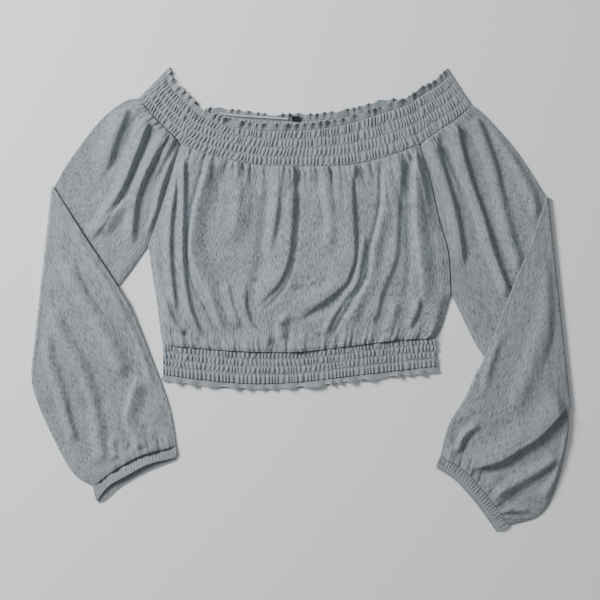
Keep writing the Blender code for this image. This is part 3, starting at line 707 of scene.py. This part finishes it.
def added(tree, kind, label, **values):
    """A node with its settings, named for what it does."""
    node = tree.nodes.new(kind)
    node.label = label
    for key, value in values.items():
        setattr(node, key, value)
    return node


def fed(tree, socket, value):
    """Feeds a socket with another node's output or with a constant."""
    if isinstance(value, bpy.types.NodeSocket):
        tree.links.new(value, socket)
    else:
        socket.default_value = value


def noise(tree, label, place, scale, detail, distortion=0.0):
    node = added(tree, "ShaderNodeTexNoise", label)
    for key, value in (("Vector", place), ("Scale", scale), ("Detail", detail), ("Distortion", distortion)):
        fed(tree, node.inputs[key], value)
    return node.outputs["Fac"]


def worked_out(tree, label, operation, *values):
    node = added(tree, "ShaderNodeMath", label, operation=operation)
    for socket, value in zip(node.inputs, values):
        fed(tree, socket, value)
    return node.outputs["Value"]


def mapped(tree, label, value, **limits):
    """The value spread over other limits, such as To_Min."""
    node = added(tree, "ShaderNodeMapRange", label)
    fed(tree, node.inputs["Value"], value)
    for key, limit in limits.items():
        node.inputs[key.replace("_", " ")].default_value = limit
    return node.outputs["Result"]


def coloured(tree, shader, label, value, dark, light):
    """Base colour that runs from dark to light, each given as a place on the ramp and a colour."""
    ramp = added(tree, "ShaderNodeValToRGB", label)
    for stop, (position, colour) in zip(ramp.color_ramp.elements, (dark, light)):
        stop.position = position
        stop.color = (*colour, 1)
    fed(tree, ramp.inputs["Fac"], value)
    fed(tree, shader.inputs["Base Color"], ramp.outputs["Color"])


def embossed(tree, shader, label, height, distance, strength):
    relief = added(tree, "ShaderNodeBump", label)
    relief.inputs["Distance"].default_value = distance * MM
    relief.inputs["Strength"].default_value = strength
    fed(tree, relief.inputs["Height"], height)
    fed(tree, shader.inputs["Normal"], relief.outputs["Normal"])


def crinkle_group():
    """Crinkled weave: streaks along the cloth, mottling between them and specks of thread, with painted shade
    in the streaks' valleys and painted highlights on their crests.
    """
    name = "crinkled weave"
    if name in bpy.data.node_groups:
        return bpy.data.node_groups[name]
    tree = bpy.data.node_groups.new(name, "ShaderNodeTree")
    tree.interface.new_socket(name="Cloth lengths", in_out="INPUT", socket_type="NodeSocketVector")
    rates = (("Streaks across", 620.0), ("Streaks along", 120.0), ("Mottling", 45.0), ("Thread", 1900.0))
    for key, rate in rates:
        socket = tree.interface.new_socket(name=key, in_out="INPUT", socket_type="NodeSocketFloat")
        socket.default_value = rate
    for key in ("Height", "Tone and painted crinkle shade"):
        tree.interface.new_socket(name=key, in_out="OUTPUT", socket_type="NodeSocketFloat")
    start = added(tree, "NodeGroupInput", "cloth").outputs
    end = added(tree, "NodeGroupOutput", "weave").inputs
    scale = added(tree, "ShaderNodeCombineXYZ", "streak scale")
    fed(tree, scale.inputs["X"], start["Streaks across"])
    fed(tree, scale.inputs["Y"], start["Streaks along"])
    stretched = added(tree, "ShaderNodeVectorMath", "streak lengths", operation="MULTIPLY")
    fed(tree, stretched.inputs[0], start["Cloth lengths"])
    fed(tree, stretched.inputs[1], scale.outputs["Vector"])
    streaks = noise(tree, "streaks", stretched.outputs["Vector"], 1.0, 2.5, 0.35)
    mottling = noise(tree, "mottling", start["Cloth lengths"], start["Mottling"], 3.0)
    thread = noise(tree, "threads", start["Cloth lengths"], start["Thread"], 1.0)
    depth = mapped(tree, "streak depth", mottling, From_Min=0.35, From_Max=0.65, To_Min=0.45)
    height = worked_out(tree, "crinkle height", "MULTIPLY", streaks, depth)
    fed(tree, end["Height"], worked_out(tree, "thread height", "MULTIPLY_ADD", thread, 0.25, height))
    # Thread specks plus the streaks, which paint shade into the crinkle valleys and a highlight onto their
    # crests
    flecks = worked_out(tree, "flecks", "MULTIPLY_ADD", thread, 0.5, streaks)
    # The colour output is random mottling and thread specks, with painted crinkle shade and highlights
    fed(tree, end["Tone and painted crinkle shade"], worked_out(tree, "fleck and mottle", "MULTIPLY_ADD", mottling, 0.35, flecks))
    return tree


def new_finish(name):
    """A new material, its node tree and its shader."""
    made = bpy.data.materials.new(name)
    made.use_nodes = True
    return made, made.node_tree, made.node_tree.nodes["Principled BSDF"]


def tinted(colour, share):
    return tuple(share * value for value in colour)


def cloth_finish(context, slot):
    """Crinkled cloth: its colour runs from painted shade in the crinkles to a painted highlight on their
    crests, with random mottling and thread specks.
    """
    name, dark, light, across, along, bump, strength = CLOTH_FINISHES[slot]
    if name in bpy.data.materials:
        return bpy.data.materials[name]
    made, tree, shader = new_finish(name)
    shader.inputs["Metallic"].default_value = 0.0
    shader.inputs["Specular IOR Level"].default_value = 0.25
    shader.inputs["Sheen Weight"].default_value = 0.2
    shader.inputs["Sheen Roughness"].default_value = 0.6
    lengths = added(tree, "ShaderNodeUVMap", "cloth lengths", uv_map="cloth lengths")
    weave = added(tree, "ShaderNodeGroup", "crinkled weave", node_tree=crinkle_group())
    fed(tree, weave.inputs["Streaks across"], across)
    fed(tree, weave.inputs["Streaks along"], along)
    fed(tree, weave.inputs["Cloth lengths"], lengths.outputs["UV"])
    colour = tuple(context.scene.top_colours.cloth)
    # The ramp paints shade into the crinkles and highlights onto their crests, over the cloth's own mottling
    # and specks
    stops = ((0.62, tinted(colour, dark)), (1.0, tinted(colour, light)))
    coloured(tree, shader, "cloth colour", weave.outputs["Tone and painted crinkle shade"], *stops)
    rough = mapped(tree, "roughness", weave.outputs["Height"], To_Min=0.82, To_Max=0.97)
    fed(tree, shader.inputs["Roughness"], rough)
    embossed(tree, shader, "crinkle relief", weave.outputs["Height"], bump, strength)
    return made


def thread_finish(name, dark, light, scale, roughness=0.8):
    """Fine thread or tape: speckled with its stitches or weave."""
    if name in bpy.data.materials:
        return bpy.data.materials[name]
    made, tree, shader = new_finish(name)
    shader.inputs["Specular IOR Level"].default_value = 0.3
    shader.inputs["Roughness"].default_value = roughness
    place = added(tree, "ShaderNodeTexCoord", "place")
    stitches = noise(tree, "stitches", place.outputs["Object"], scale, 1.5)
    coloured(tree, shader, "thread colour", stitches, (0.38, dark), (0.62, light))
    embossed(tree, shader, "stitch relief", stitches, 0.2, 0.6)
    return made


def overlock_thread(context):
    colour = tuple(context.scene.top_colours.edge_thread)
    return thread_finish("overlock thread", tinted(colour, 0.75), tinted(colour, 1.1), 900)


def cloth_piece(context, name, outside, inside, slot, node):
    """A piece of cloth with its finish, tied to the body, with the solid that it stands for hidden."""
    data = cloth_mesh(name, outside, inside)
    return placed(shown(name, data, cloth_finish(context, slot)), slot, node)


class TopSizes(bpy.types.PropertyGroup):
    thickness: FloatProperty(
        name="Cloth thickness",
        description="Thickness of the crinkled cloth",
        default=0.7 * MM,
        min=0.2 * MM,
        max=1.2 * MM,
        unit="LENGTH",
    )
    crease_scale: FloatProperty(
        name="Crease height",
        description="Height of the main creases as a share of the heights in the tables",
        default=1.15,
        min=0.0,
        max=1.3,
        subtype="FACTOR",
    )
    pleat_rise: FloatProperty(
        name="Shirring height",
        description="How far the small puffs of the shirred bands stand up",
        default=3.1 * MM,
        min=0.5 * MM,
        max=4 * MM,
        unit="LENGTH",
    )
    frill_rise: FloatProperty(
        name="Frill height",
        description="How far the frilled edges stand up at their waves",
        default=5.5 * MM,
        min=0.5 * MM,
        max=8 * MM,
        unit="LENGTH",
    )
    thread_radius: FloatProperty(
        name="Overlock radius",
        description="Half the width of the overlocked edge",
        default=0.45 * MM,
        min=0.2 * MM,
        max=0.8 * MM,
        unit="LENGTH",
    )


class TopColours(bpy.types.PropertyGroup):
    cloth: FloatVectorProperty(
        name="Cloth",
        description="Colour of the crinkled cloth",
        default=(0.215, 0.242, 0.262),
        min=0,
        max=1,
        subtype="COLOR",
    )
    edge_thread: FloatVectorProperty(
        name="Edge thread",
        description="Colour of the overlocked edges",
        default=(0.42, 0.46, 0.48),
        min=0,
        max=1,
        subtype="COLOR",
    )
    ribbon: FloatVectorProperty(
        name="Ribbon",
        description="Colour of the hanger loop",
        default=(0.5, 0.53, 0.55),
        min=0,
        max=1,
        subtype="COLOR",
    )
    label: FloatVectorProperty(
        name="Label",
        description="Colour of the bare label",
        default=(0.012, 0.012, 0.013),
        min=0,
        max=1,
        subtype="COLOR",
    )
    floor: FloatVectorProperty(
        name="Floor",
        description="Colour of the pale floor",
        default=(0.95, 0.95, 0.95),
        min=0,
        max=1,
        subtype="COLOR",
    )


class StageSizes(bpy.types.PropertyGroup):
    camera_height: FloatProperty(
        name="Camera height",
        description="Height of the camera over the floor",
        default=2.0,
        min=0.5,
        max=5,
        unit="LENGTH",
    )
    view_width: FloatProperty(
        name="View width",
        description="Width of the floor that the camera takes in",
        default=0.72,
        min=0.3,
        max=3,
        unit="LENGTH",
    )
    lamp_power: FloatProperty(
        name="Lamp power",
        description="Power of the large lamp on the upper left",
        default=62.0,
        min=0,
        max=500,
        unit="POWER",
    )
    sky_strength: FloatProperty(
        name="Sky strength",
        description="Strength of the even light from all round",
        default=0.3,
        min=0,
        max=5,
    )


class TOP_OT_front_body(bpy.types.Operator):
    """Build the front panel with its creases and gathers"""

    bl_idname = "top.front_body"
    bl_label = "Front panel"

    def execute(self, context):
        sizes = context.scene.top_sizes
        thickness = sizes.thickness / MM
        plan = panel_plan(NECK_SEAM, PANEL_COLUMNS, RAGLAN_ROWS, SIDE_ROWS)
        below_neck = np.linalg.norm(plan - plan[:1], axis=-1)
        above_waist = np.linalg.norm(plan - plan[-1:], axis=-1)
        relief = PANEL_PUFF * smooth(below_neck / PUFF_REACH) * smooth(above_waist / PUFF_REACH)
        relief += fold_height(plan, FRONT_FOLDS, sizes.crease_scale) + swell(plan, 11)
        relief += gathers(seam_run(plan, 0), below_neck, NECK_GATHERS, 1)
        relief += gathers(seam_run(plan, -1), above_waist, WAIST_GATHERS, 2)
        relief = np.maximum(relief, -0.5) * smooth(edge_distance(plan) / EDGE_FADE)
        side_rows = smooth((np.arange(len(plan)) - RAGLAN_ROWS) / 12)[:, None]
        relief -= (FRONT_TOP - TWO_LAYERS) * smooth(1 - edge_distance(plan) / DIP_WIDTH) * side_rows
        top = FRONT_TOP + relief
        faces = (raised(plan, top), raised(plan, top - thickness))
        made = cloth_piece(context, "front_body_cloth", *faces, "crinkle_cloth", "front_body")
        return {"FINISHED"}


class TOP_OT_back_body(bpy.types.Operator):
    """Build the back panel, flat on the surface"""

    bl_idname = "top.back_body"
    bl_label = "Back panel"

    def execute(self, context):
        sizes = context.scene.top_sizes
        plan = panel_plan(BACK_SEAM, BACK_COLUMNS, BACK_ROWS, BACK_ROWS)
        below_neck = np.linalg.norm(plan - plan[:1], axis=-1)
        relief = 0.2 * gathers(seam_run(plan, 0), below_neck, NECK_GATHERS[1:], 6)
        top = sizes.thickness / MM + BACK_LIFT + relief
        top = np.minimum(top, BACK_TOP) - 0.2 * smooth(1 - edge_distance(plan) / DIP_WIDTH)
        faces = (raised(plan, 0.0), raised(plan, top))
        made = cloth_piece(context, "back_body_cloth", *faces, "crinkle_cloth", "back_body")
        return {"FINISHED"}


def shirred_band(context, name, node, edge, seam, pleats, rows, rise, seed, puffs, free):
    """A shirred length of the front, with puffs raised outside."""
    thickness = context.scene.top_sizes.thickness / MM
    columns = PLEAT_COLUMNS * pleats + 1
    plan = loft(curve(edge, columns), curve(seam, columns), rows)
    plan = trimmed(plan, bottom=SEAM, left=SEAM, right=SEAM)
    top = BAND_UNDER + thickness + rise * shirring(rows + 1, columns, pleats, puffs, seed, free)
    made = cloth_piece(context, name, raised(plan, top), raised(plan, top - thickness), "shirred_cloth", node)
    return made


def shirred_back(context, name, node, edge, seam, pleats, rows, seed, cover):
    """A length of band under the garment: flat where it rests, puffed where it shows past its cover."""
    thickness = context.scene.top_sizes.thickness / MM
    columns = LOW_PLEAT_COLUMNS * pleats + 1
    plan = loft(curve(edge, columns), curve(seam, columns), rows)
    plan = trimmed(plan, bottom=SEAM, left=SEAM, right=SEAM)
    uncovered = from_line(plan, curve(cover, 60))[0]
    puff = shirring(rows + 1, columns, pleats, BAND_PUFFS, seed)
    top = thickness + (COVERED_PUFF + SHOWN_PUFF * smooth(uncovered / 6)) * puff
    made = cloth_piece(context, name, raised(plan, 0.0), raised(plan, top), "shirred_cloth", node)
    return made


class TOP_OT_bands(bpy.types.Operator):
    """Build the shirred neck and waist bands of the front and back"""

    bl_idname = "top.bands"
    bl_label = "Neck and waist bands"

    def execute(self, context):
        rise = context.scene.top_sizes.pleat_rise / MM
        shirred_band(
            context, "front_neck_band", "front_neck_shirring", NECK_EDGE, NECK_SEAM,
            NECK_PLEATS, BAND_ROWS, rise, 3, BAND_PUFFS, 0.0,
        )
        shirred_band(
            context, "front_waist_band", "front_waist_shirring", WAIST_SEAM, WAIST_EDGE,
            WAIST_PLEATS, WAIST_ROWS, rise, 8, WAIST_PUFFS, WAIST_FREE,
        )
        shirred_back(
            context, "back_neck_band", "back_neck_shirring", BACK_EDGE, BACK_SEAM,
            BACK_NECK_PLEATS, BACK_BAND_ROWS, 13, NECK_EDGE,
        )
        shirred_back(
            context, "back_waist_band", "back_waist_shirring", WAIST_SEAM, WAIST_EDGE,
            BACK_WAIST_PLEATS, BACK_WAIST_ROWS, 17, NECK_EDGE,
        )
        return {"FINISHED"}


class TOP_OT_shoulder_bands(bpy.types.Operator):
    """Build the lengths of neck band that go over the sleeves"""

    bl_idname = "top.shoulder_bands"
    bl_label = "Shoulder bands"

    def execute(self, context):
        sizes = context.scene.top_sizes
        thickness = sizes.thickness / MM
        rise = sizes.pleat_rise / MM
        for side, border in SLEEVES.items():
            columns = PLEAT_COLUMNS * SHOULDER_PLEATS + 1
            seam = curve(border["band_seam"], columns)
            plan = loft(curve(border["band_edge"], columns), seam, SHOULDER_ROWS)
            plan = trimmed(plan, bottom=SEAM, left=SEAM, right=BAND_TOP / 2)
            outward = unit(plan[:, -1] - plan[:, -2])
            puff = shirring(SHOULDER_ROWS + 1, columns, SHOULDER_PLEATS, BAND_PUFFS, 4)
            still = smooth(6 * (1 - np.linspace(0, 1, columns)))[None, :]
            top = BAND_UNDER + thickness + rise * puff * (0.35 + 0.65 * still)
            outside = folded(plan, plan, outward, top, 0.0)
            inside = folded(plan, plan, outward, top - thickness, thickness)
            name = side + "_shoulder_band"
            made = cloth_piece(context, name, outside, inside, "shirred_cloth", side + "_neck_shirring")
        return {"FINISHED"}


class TOP_OT_sleeves(bpy.types.Operator):
    """Build both raglan sleeves, folded down over themselves"""

    bl_idname = "top.sleeves"
    bl_label = "Sleeves"

    def execute(self, context):
        sizes = context.scene.top_sizes
        thickness = sizes.thickness / MM
        for side in SLEEVES:
            upper, upper_out = upper_sleeve_plan(side)
            lower, lower_out = lower_sleeve_plan(side)
            top = FRONT_TOP + upper_relief(side, upper, sizes.crease_scale) - seam_dip(side, upper)
            rest = rest_height(side, lower)
            bridge = rest_height(side, lower, BRIDGE_END)
            over = bridge + FRONT_TOP + lower_relief(side, lower, sizes.crease_scale) - seam_dip(side, lower)
            faces = []
            for inset in (0.0, thickness):
                near = folded(upper, upper, upper_out, top - inset, inset)
                bend = [bent(near[-1], math.radians(angle), side)[None] for angle in BEND_ANGLES]
                far = folded(lower, lower, lower_out, rest + inset, over - inset)
                faces.append(np.concatenate([near, *bend, far[1:]]))
            name = side + "_sleeve_cloth"
            made = cloth_piece(context, name, *faces, "crinkle_cloth", side + "_sleeve")
        return {"FINISHED"}


class TOP_OT_cuffs(bpy.types.Operator):
    """Build the narrow elastic cuffs with their gathers and openings"""

    bl_idname = "top.cuffs"
    bl_label = "Cuffs"

    def execute(self, context):
        sizes = context.scene.top_sizes
        thickness = sizes.thickness / MM
        radius = sizes.thread_radius / MM
        thread = overlock_thread(context)
        for side, border in SLEEVES.items():
            columns = LOW_PLEAT_COLUMNS * CUFF_PLEATS + 1
            seam = curve(border["cuff_seam"], columns)
            over = loft(seam, curve(border["cuff_edge"], columns), CUFF_ROWS)
            under = loft(seam, curve(border["cuff_under_edge"], columns), CUFF_ROWS)
            over = trimmed(over, top=SEAM, right=BAND_TOP / 2)
            under = trimmed(under, top=SEAM, right=BAND_TOP / 2)
            under[:, -1] = over[:, -1]
            outward = unit(over[:, -1] - over[:, -2])
            down = np.linspace(0, 1, CUFF_ROWS + 1)[:, None]
            place = np.linspace(0, 1, columns)[None, :]
            puff = shirring(CUFF_ROWS + 1, columns, CUFF_PLEATS, 1, 7) * (0.5 + 0.5 * np.sin(math.pi * down))
            opening = CUFF_OPENING[side] * np.sin(math.pi * place) ** 0.8 * down**1.3
            top = BAND_UNDER + thickness + CUFF_PUFF * puff + opening
            floor = np.broadcast_to(0.0, top.shape)
            lining = thickness + 0.8 * puff
            name = side + "_cuff_cloth"
            outside = folded(under, over, outward, floor, top)
            ceiling = top - thickness
            inside = folded(under, over, outward, np.minimum(lining, ceiling - 0.1), ceiling)
            made = cloth_piece(context, name, outside, inside, "shirred_cloth", side + "_cuff")
            rim = raised(over, top - thickness / 2)[-1]
            far_rim = raised(under, np.maximum(lining, 0.5))[-1]
            edges = [
                edge_thread(side + "_cuff_edge", rim, radius, thread),
                edge_thread(side + "_cuff_back_edge", far_rim, radius, thread),
            ]
        return {"FINISHED"}


def frill_points(root, away, waves, level, lift, rise, height, seed, curl):
    """Points of a frilled edge: flat at its root, looping more and more towards its tip."""
    share = np.linspace(0, 1, FRILL_ROWS + 1)[:, None]
    place = np.linspace(0, 1, len(root))[None, :]
    still = smooth(1.5 * waves * np.minimum(place, 1 - place))
    turn = waves * place + 0.55 * soft_noise(0.7 * waves * place + 3, 0 * place + 2, seed)
    phase = 2 * math.pi * turn
    size = (0.75 + 0.35 * soft_noise(turn, 0 * place + 5, seed + 1)) * still
    along = np.column_stack([away[:, 1], -away[:, 0]])
    reach = height * share * (0.86 + 0.1 * soft_noise(turn / 2, 0 * place + 8, seed + 2))
    reach = reach + curl * share**1.5 * np.sin(phase) * size
    sway = 0.9 * curl * share**1.5 * np.sin(2 * phase + 0.4) * size
    plan = root + reach[..., None] * away + sway[..., None] * along
    swing = 0.5 + 0.5 * np.sin(phase + 1.1)
    heights = level + lift * share + rise * share**0.9 * swing * size
    return plan, heights


def frill_root(edge, end_ways, waves):
    """The line that a frill stands on and the way that it points at each place."""
    root = curve(edge, WAVE_COLUMNS * waves + 1)
    away = left_normals(root)
    away *= np.sign((away[0] * end_ways[0]).sum())
    share = np.linspace(0, 1, len(root))[:, None]
    for end_way, from_end in zip(end_ways, (share, 1 - share)):
        weight = smooth(1 - from_end / FRILL_TURN)
        away = unit((1 - weight) * away + weight * end_way)
    return root + SEAM * away, away


class TOP_OT_frills(bpy.types.Operator):
    """Build the frilled edges of the neck and hem, with their overlocked edges"""

    bl_idname = "top.frills"
    bl_label = "Frilled edges"

    def execute(self, context):
        sizes = context.scene.top_sizes
        thickness = 0.7 * sizes.thickness / MM
        radius = sizes.thread_radius / MM
        rise = sizes.frill_rise / MM
        thread = overlock_thread(context)
        neck_ways = [
            unit(np.array(border["band_edge"][0], float) - border["band_seam"][0])
            for border in SLEEVES.values()
        ]
        hem_ways = np.array(HEM_WAYS)
        # The last column is the flat size's length in metres, fitted as said above
        rows = [
            ("front_neck", NECK_EDGE, neck_ways, NECK_WAVES, 2.2, 0.8, rise, FRILL_HEIGHT, 0.33),
            ("back_neck", BACK_EDGE, neck_ways, BACK_NECK_WAVES, 0.2, 0.3, 0.6 * rise, FRILL_HEIGHT, 0.3),
            ("front_hem", WAIST_EDGE, hem_ways, HEM_WAVES, 2.2, 0.3, 0.8 * rise, HEM_HEIGHT, 0.31),
            ("back_hem", WAIST_EDGE, hem_ways, HEM_WAVES // 2, 0.1, 0.0, 0.35 * rise, HEM_HEIGHT, 0.3),
        ]
        for number, (name, edge, ways, waves, level, lift, height, depth, length) in enumerate(rows):
            root, away = frill_root(edge, ways, waves)
            curl = HEM_CURL if "hem" in name else NECK_CURL
            plan, under = frill_points(root, away, waves, level, lift, height, depth, 61 + 5 * number, curl)
            outside = raised(plan, under + thickness)
            piece = name + "_frill"
            made = cloth_piece(context, piece, outside, raised(plan, under), "frill_edge", name + "_ruffle")
            tip = outside[-1] - (0, 0, thickness / 2)
            tip[:, 2] = np.maximum(tip[:, 2], radius)
            edging = edge_thread(piece + "_edge", tip, radius, thread)
        for number, (side, border) in enumerate(SLEEVES.items()):
            count = WAVE_COLUMNS * SHOULDER_WAVES + 1
            band = loft(curve(border["band_edge"], count), curve(border["band_seam"], count), 2)
            band = trimmed(band, right=FRONT_TOP / 2)
            away = unit(band[0] - band[1])
            root = band[0] + SEAM * away
            front, front_z = frill_points(
                root, away, SHOULDER_WAVES, 2.2, 0.8, rise, FRILL_HEIGHT, 90 + number, NECK_CURL
            )
            back, back_z = frill_points(
                root, away, SHOULDER_WAVES, 0.0, 0.0, 0.5, FRILL_HEIGHT, 95, NECK_CURL
            )
            back_z = np.minimum(back_z, front_z - 2 * thickness - 0.1)
            outward = unit(band[:, -1] - band[:, -2])[:1].repeat(len(front), axis=0)
            back[:, -1] = front[:, -1]
            outside = folded(front, back, outward, front_z + thickness, back_z)
            inside = folded(front, back, outward, front_z, back_z + thickness)
            piece = side + "_shoulder_frill"
            made = cloth_piece(context, piece, outside, inside, "frill_edge", side + "_neck_ruffle")
            tip = (outside[-1] + inside[-1]) / 2
            tip[:, 2] = np.maximum(tip[:, 2], radius)
            edging = edge_thread(piece + "_edge", tip, radius, thread)
        return {"FINISHED"}


class TOP_OT_loop_and_label(bpy.types.Operator):
    """Build the thin hanger loop and the bare label inside the back of the neck"""

    bl_idname = "top.loop_and_label"
    bl_label = "Hanger loop and label"

    def execute(self, context):
        colours = context.scene.top_colours
        ribbon = tuple(colours.ribbon)
        satin = thread_finish("pale ribbon", tinted(ribbon, 0.9), tinted(ribbon, 1.05), 1400, 0.45)
        data = bpy.data.curves.new("hanger_ribbon", "CURVE")
        data.dimensions = "3D"
        data.bevel_depth = RIBBON_EDGE * MM
        data.bevel_resolution = 1
        data.extrude = (LOOP_WIDTH / 2 - RIBBON_EDGE) * MM
        data.use_fill_caps = True
        route = curve(LOOP_ROUTE, LOOP_POINTS)
        line = data.splines.new("POLY")
        line.points.add(LOOP_POINTS - 1)
        for point, place in zip(line.points, route):
            point.co = (place[0] * MM, place[1] * MM, LOOP_LEVEL * MM, 1)
            point.tilt = math.pi / 2
        made = placed(shown("hanger_ribbon", data, satin), "loop_ribbon", "hanger_loop")
        black = tuple(colours.label)
        tape = thread_finish("plain black tape", tinted(black, 0.8), tinted(black, 1.6), 1100, 0.7)
        width, depth, thick = LABEL_SIZE
        across, down = np.meshgrid(
            np.linspace(-0.5, 0.5, LABEL_CELLS[0] + 1), np.linspace(0.5, -0.5, LABEL_CELLS[1] + 1)
        )
        x = LABEL_CENTRE[0] + width * across
        y = LABEL_CENTRE[1] + depth * down
        z = LABEL_CENTRE[2] + LABEL_CURL * (2 * across) ** 2 * (down + 0.5)
        top = np.dstack([x, y, z + thick / 2])
        under = np.dstack([x, y, z - thick / 2])
        name = "plain_label_tape"
        placed(shown(name, cloth_mesh(name, top, under), tape), "plain_label", "label")
        return {"FINISHED"}


class TOP_OT_stage(bpy.types.Operator):
    """Set the pale floor, the soft light and the camera"""

    bl_idname = "top.stage"
    bl_label = "Floor, light and camera"

    def execute(self, context):
        sizes = context.scene.stage_sizes
        floor_colour = tuple(context.scene.top_colours.floor)
        cells = bmesh.new()
        bmesh.ops.create_grid(cells, x_segments=1, y_segments=1, size=FLOOR_REACH)
        data = bpy.data.meshes.new("floor")
        cells.to_mesh(data)
        cells.free()
        paint, _, shader = new_finish("pale floor")
        shader.inputs["Roughness"].default_value = 0.9
        shader.inputs["Base Color"].default_value = (*floor_colour, 1)
        floor = shown("floor", data, paint)
        floor.location.z = -0.3 * MM
        sky = bpy.data.worlds.new("soft sky")
        sky.use_nodes = True
        background = sky.node_tree.nodes["Background"]
        background.inputs["Color"].default_value = (*SKY_COLOUR, 1)
        background.inputs["Strength"].default_value = sizes.sky_strength
        context.scene.world = sky
        lamp = bpy.data.lights.new("soft lamp", "AREA")
        lamp.shape = "DISK"
        lamp.size = LAMP_SIZE
        lamp.energy = sizes.lamp_power
        holder = bpy.data.objects.new("soft lamp", lamp)
        holder.location = LAMP_PLACE
        aim = -np.array(LAMP_PLACE)
        holder.rotation_euler = (
            math.acos(-aim[2] / np.linalg.norm(aim)),
            0.0,
            math.atan2(aim[1], aim[0]) - math.pi / 2,
        )
        context.scene.collection.objects.link(holder)
        lens = bpy.data.cameras.new("camera")
        lens.sensor_width = 36.0
        lens.lens = lens.sensor_width * sizes.camera_height / sizes.view_width
        lens.dof.use_dof = False
        camera = bpy.data.objects.new("camera", lens)
        camera.location = (0.0, 0.0, sizes.camera_height)
        context.scene.collection.objects.link(camera)
        context.scene.camera = camera
        return {"FINISHED"}


OPERATORS = [
    TOP_OT_stage,
    TOP_OT_loop_and_label,
    TOP_OT_back_body,
    TOP_OT_front_body,
    TOP_OT_bands,
    TOP_OT_shoulder_bands,
    TOP_OT_sleeves,
    TOP_OT_cuffs,
    TOP_OT_frills,
]


class TOP_PT_panel(bpy.types.Panel):
    """The pieces of the top, in the order in which they are built"""

    bl_idname = "TOP_PT_panel"
    bl_label = "Off-shoulder top"
    bl_space_type = "VIEW_3D"
    bl_region_type = "UI"
    bl_category = "Top"

    def draw(self, context):
        for group in (context.scene.top_sizes, context.scene.top_colours, context.scene.stage_sizes):
            for key in group.bl_rna.properties.keys():
                if key not in ("rna_type", "name"):
                    self.layout.prop(group, key)
        for operator in OPERATORS:
            self.layout.operator(operator.bl_idname)


SETTINGS = [("top_sizes", TopSizes), ("top_colours", TopColours), ("stage_sizes", StageSizes)]


def register():
    for key, group in SETTINGS:
        bpy.utils.register_class(group)
        setattr(bpy.types.Scene, key, PointerProperty(type=group))
    for made in (*OPERATORS, TOP_PT_panel):
        bpy.utils.register_class(made)


def unregister():
    for made in (TOP_PT_panel, *reversed(OPERATORS)):
        bpy.utils.unregister_class(made)
    for key, group in reversed(SETTINGS):
        delattr(bpy.types.Scene, key)
        bpy.utils.unregister_class(group)


def main():
    register()
    bpy.ops.top.stage()
    bpy.ops.top.loop_and_label()
    bpy.ops.top.back_body()
    bpy.ops.top.front_body()
    bpy.ops.top.bands()
    bpy.ops.top.shoulder_bands()
    bpy.ops.top.sleeves()
    bpy.ops.top.cuffs()
    bpy.ops.top.frills()


if __name__ == "__main__":
    main()
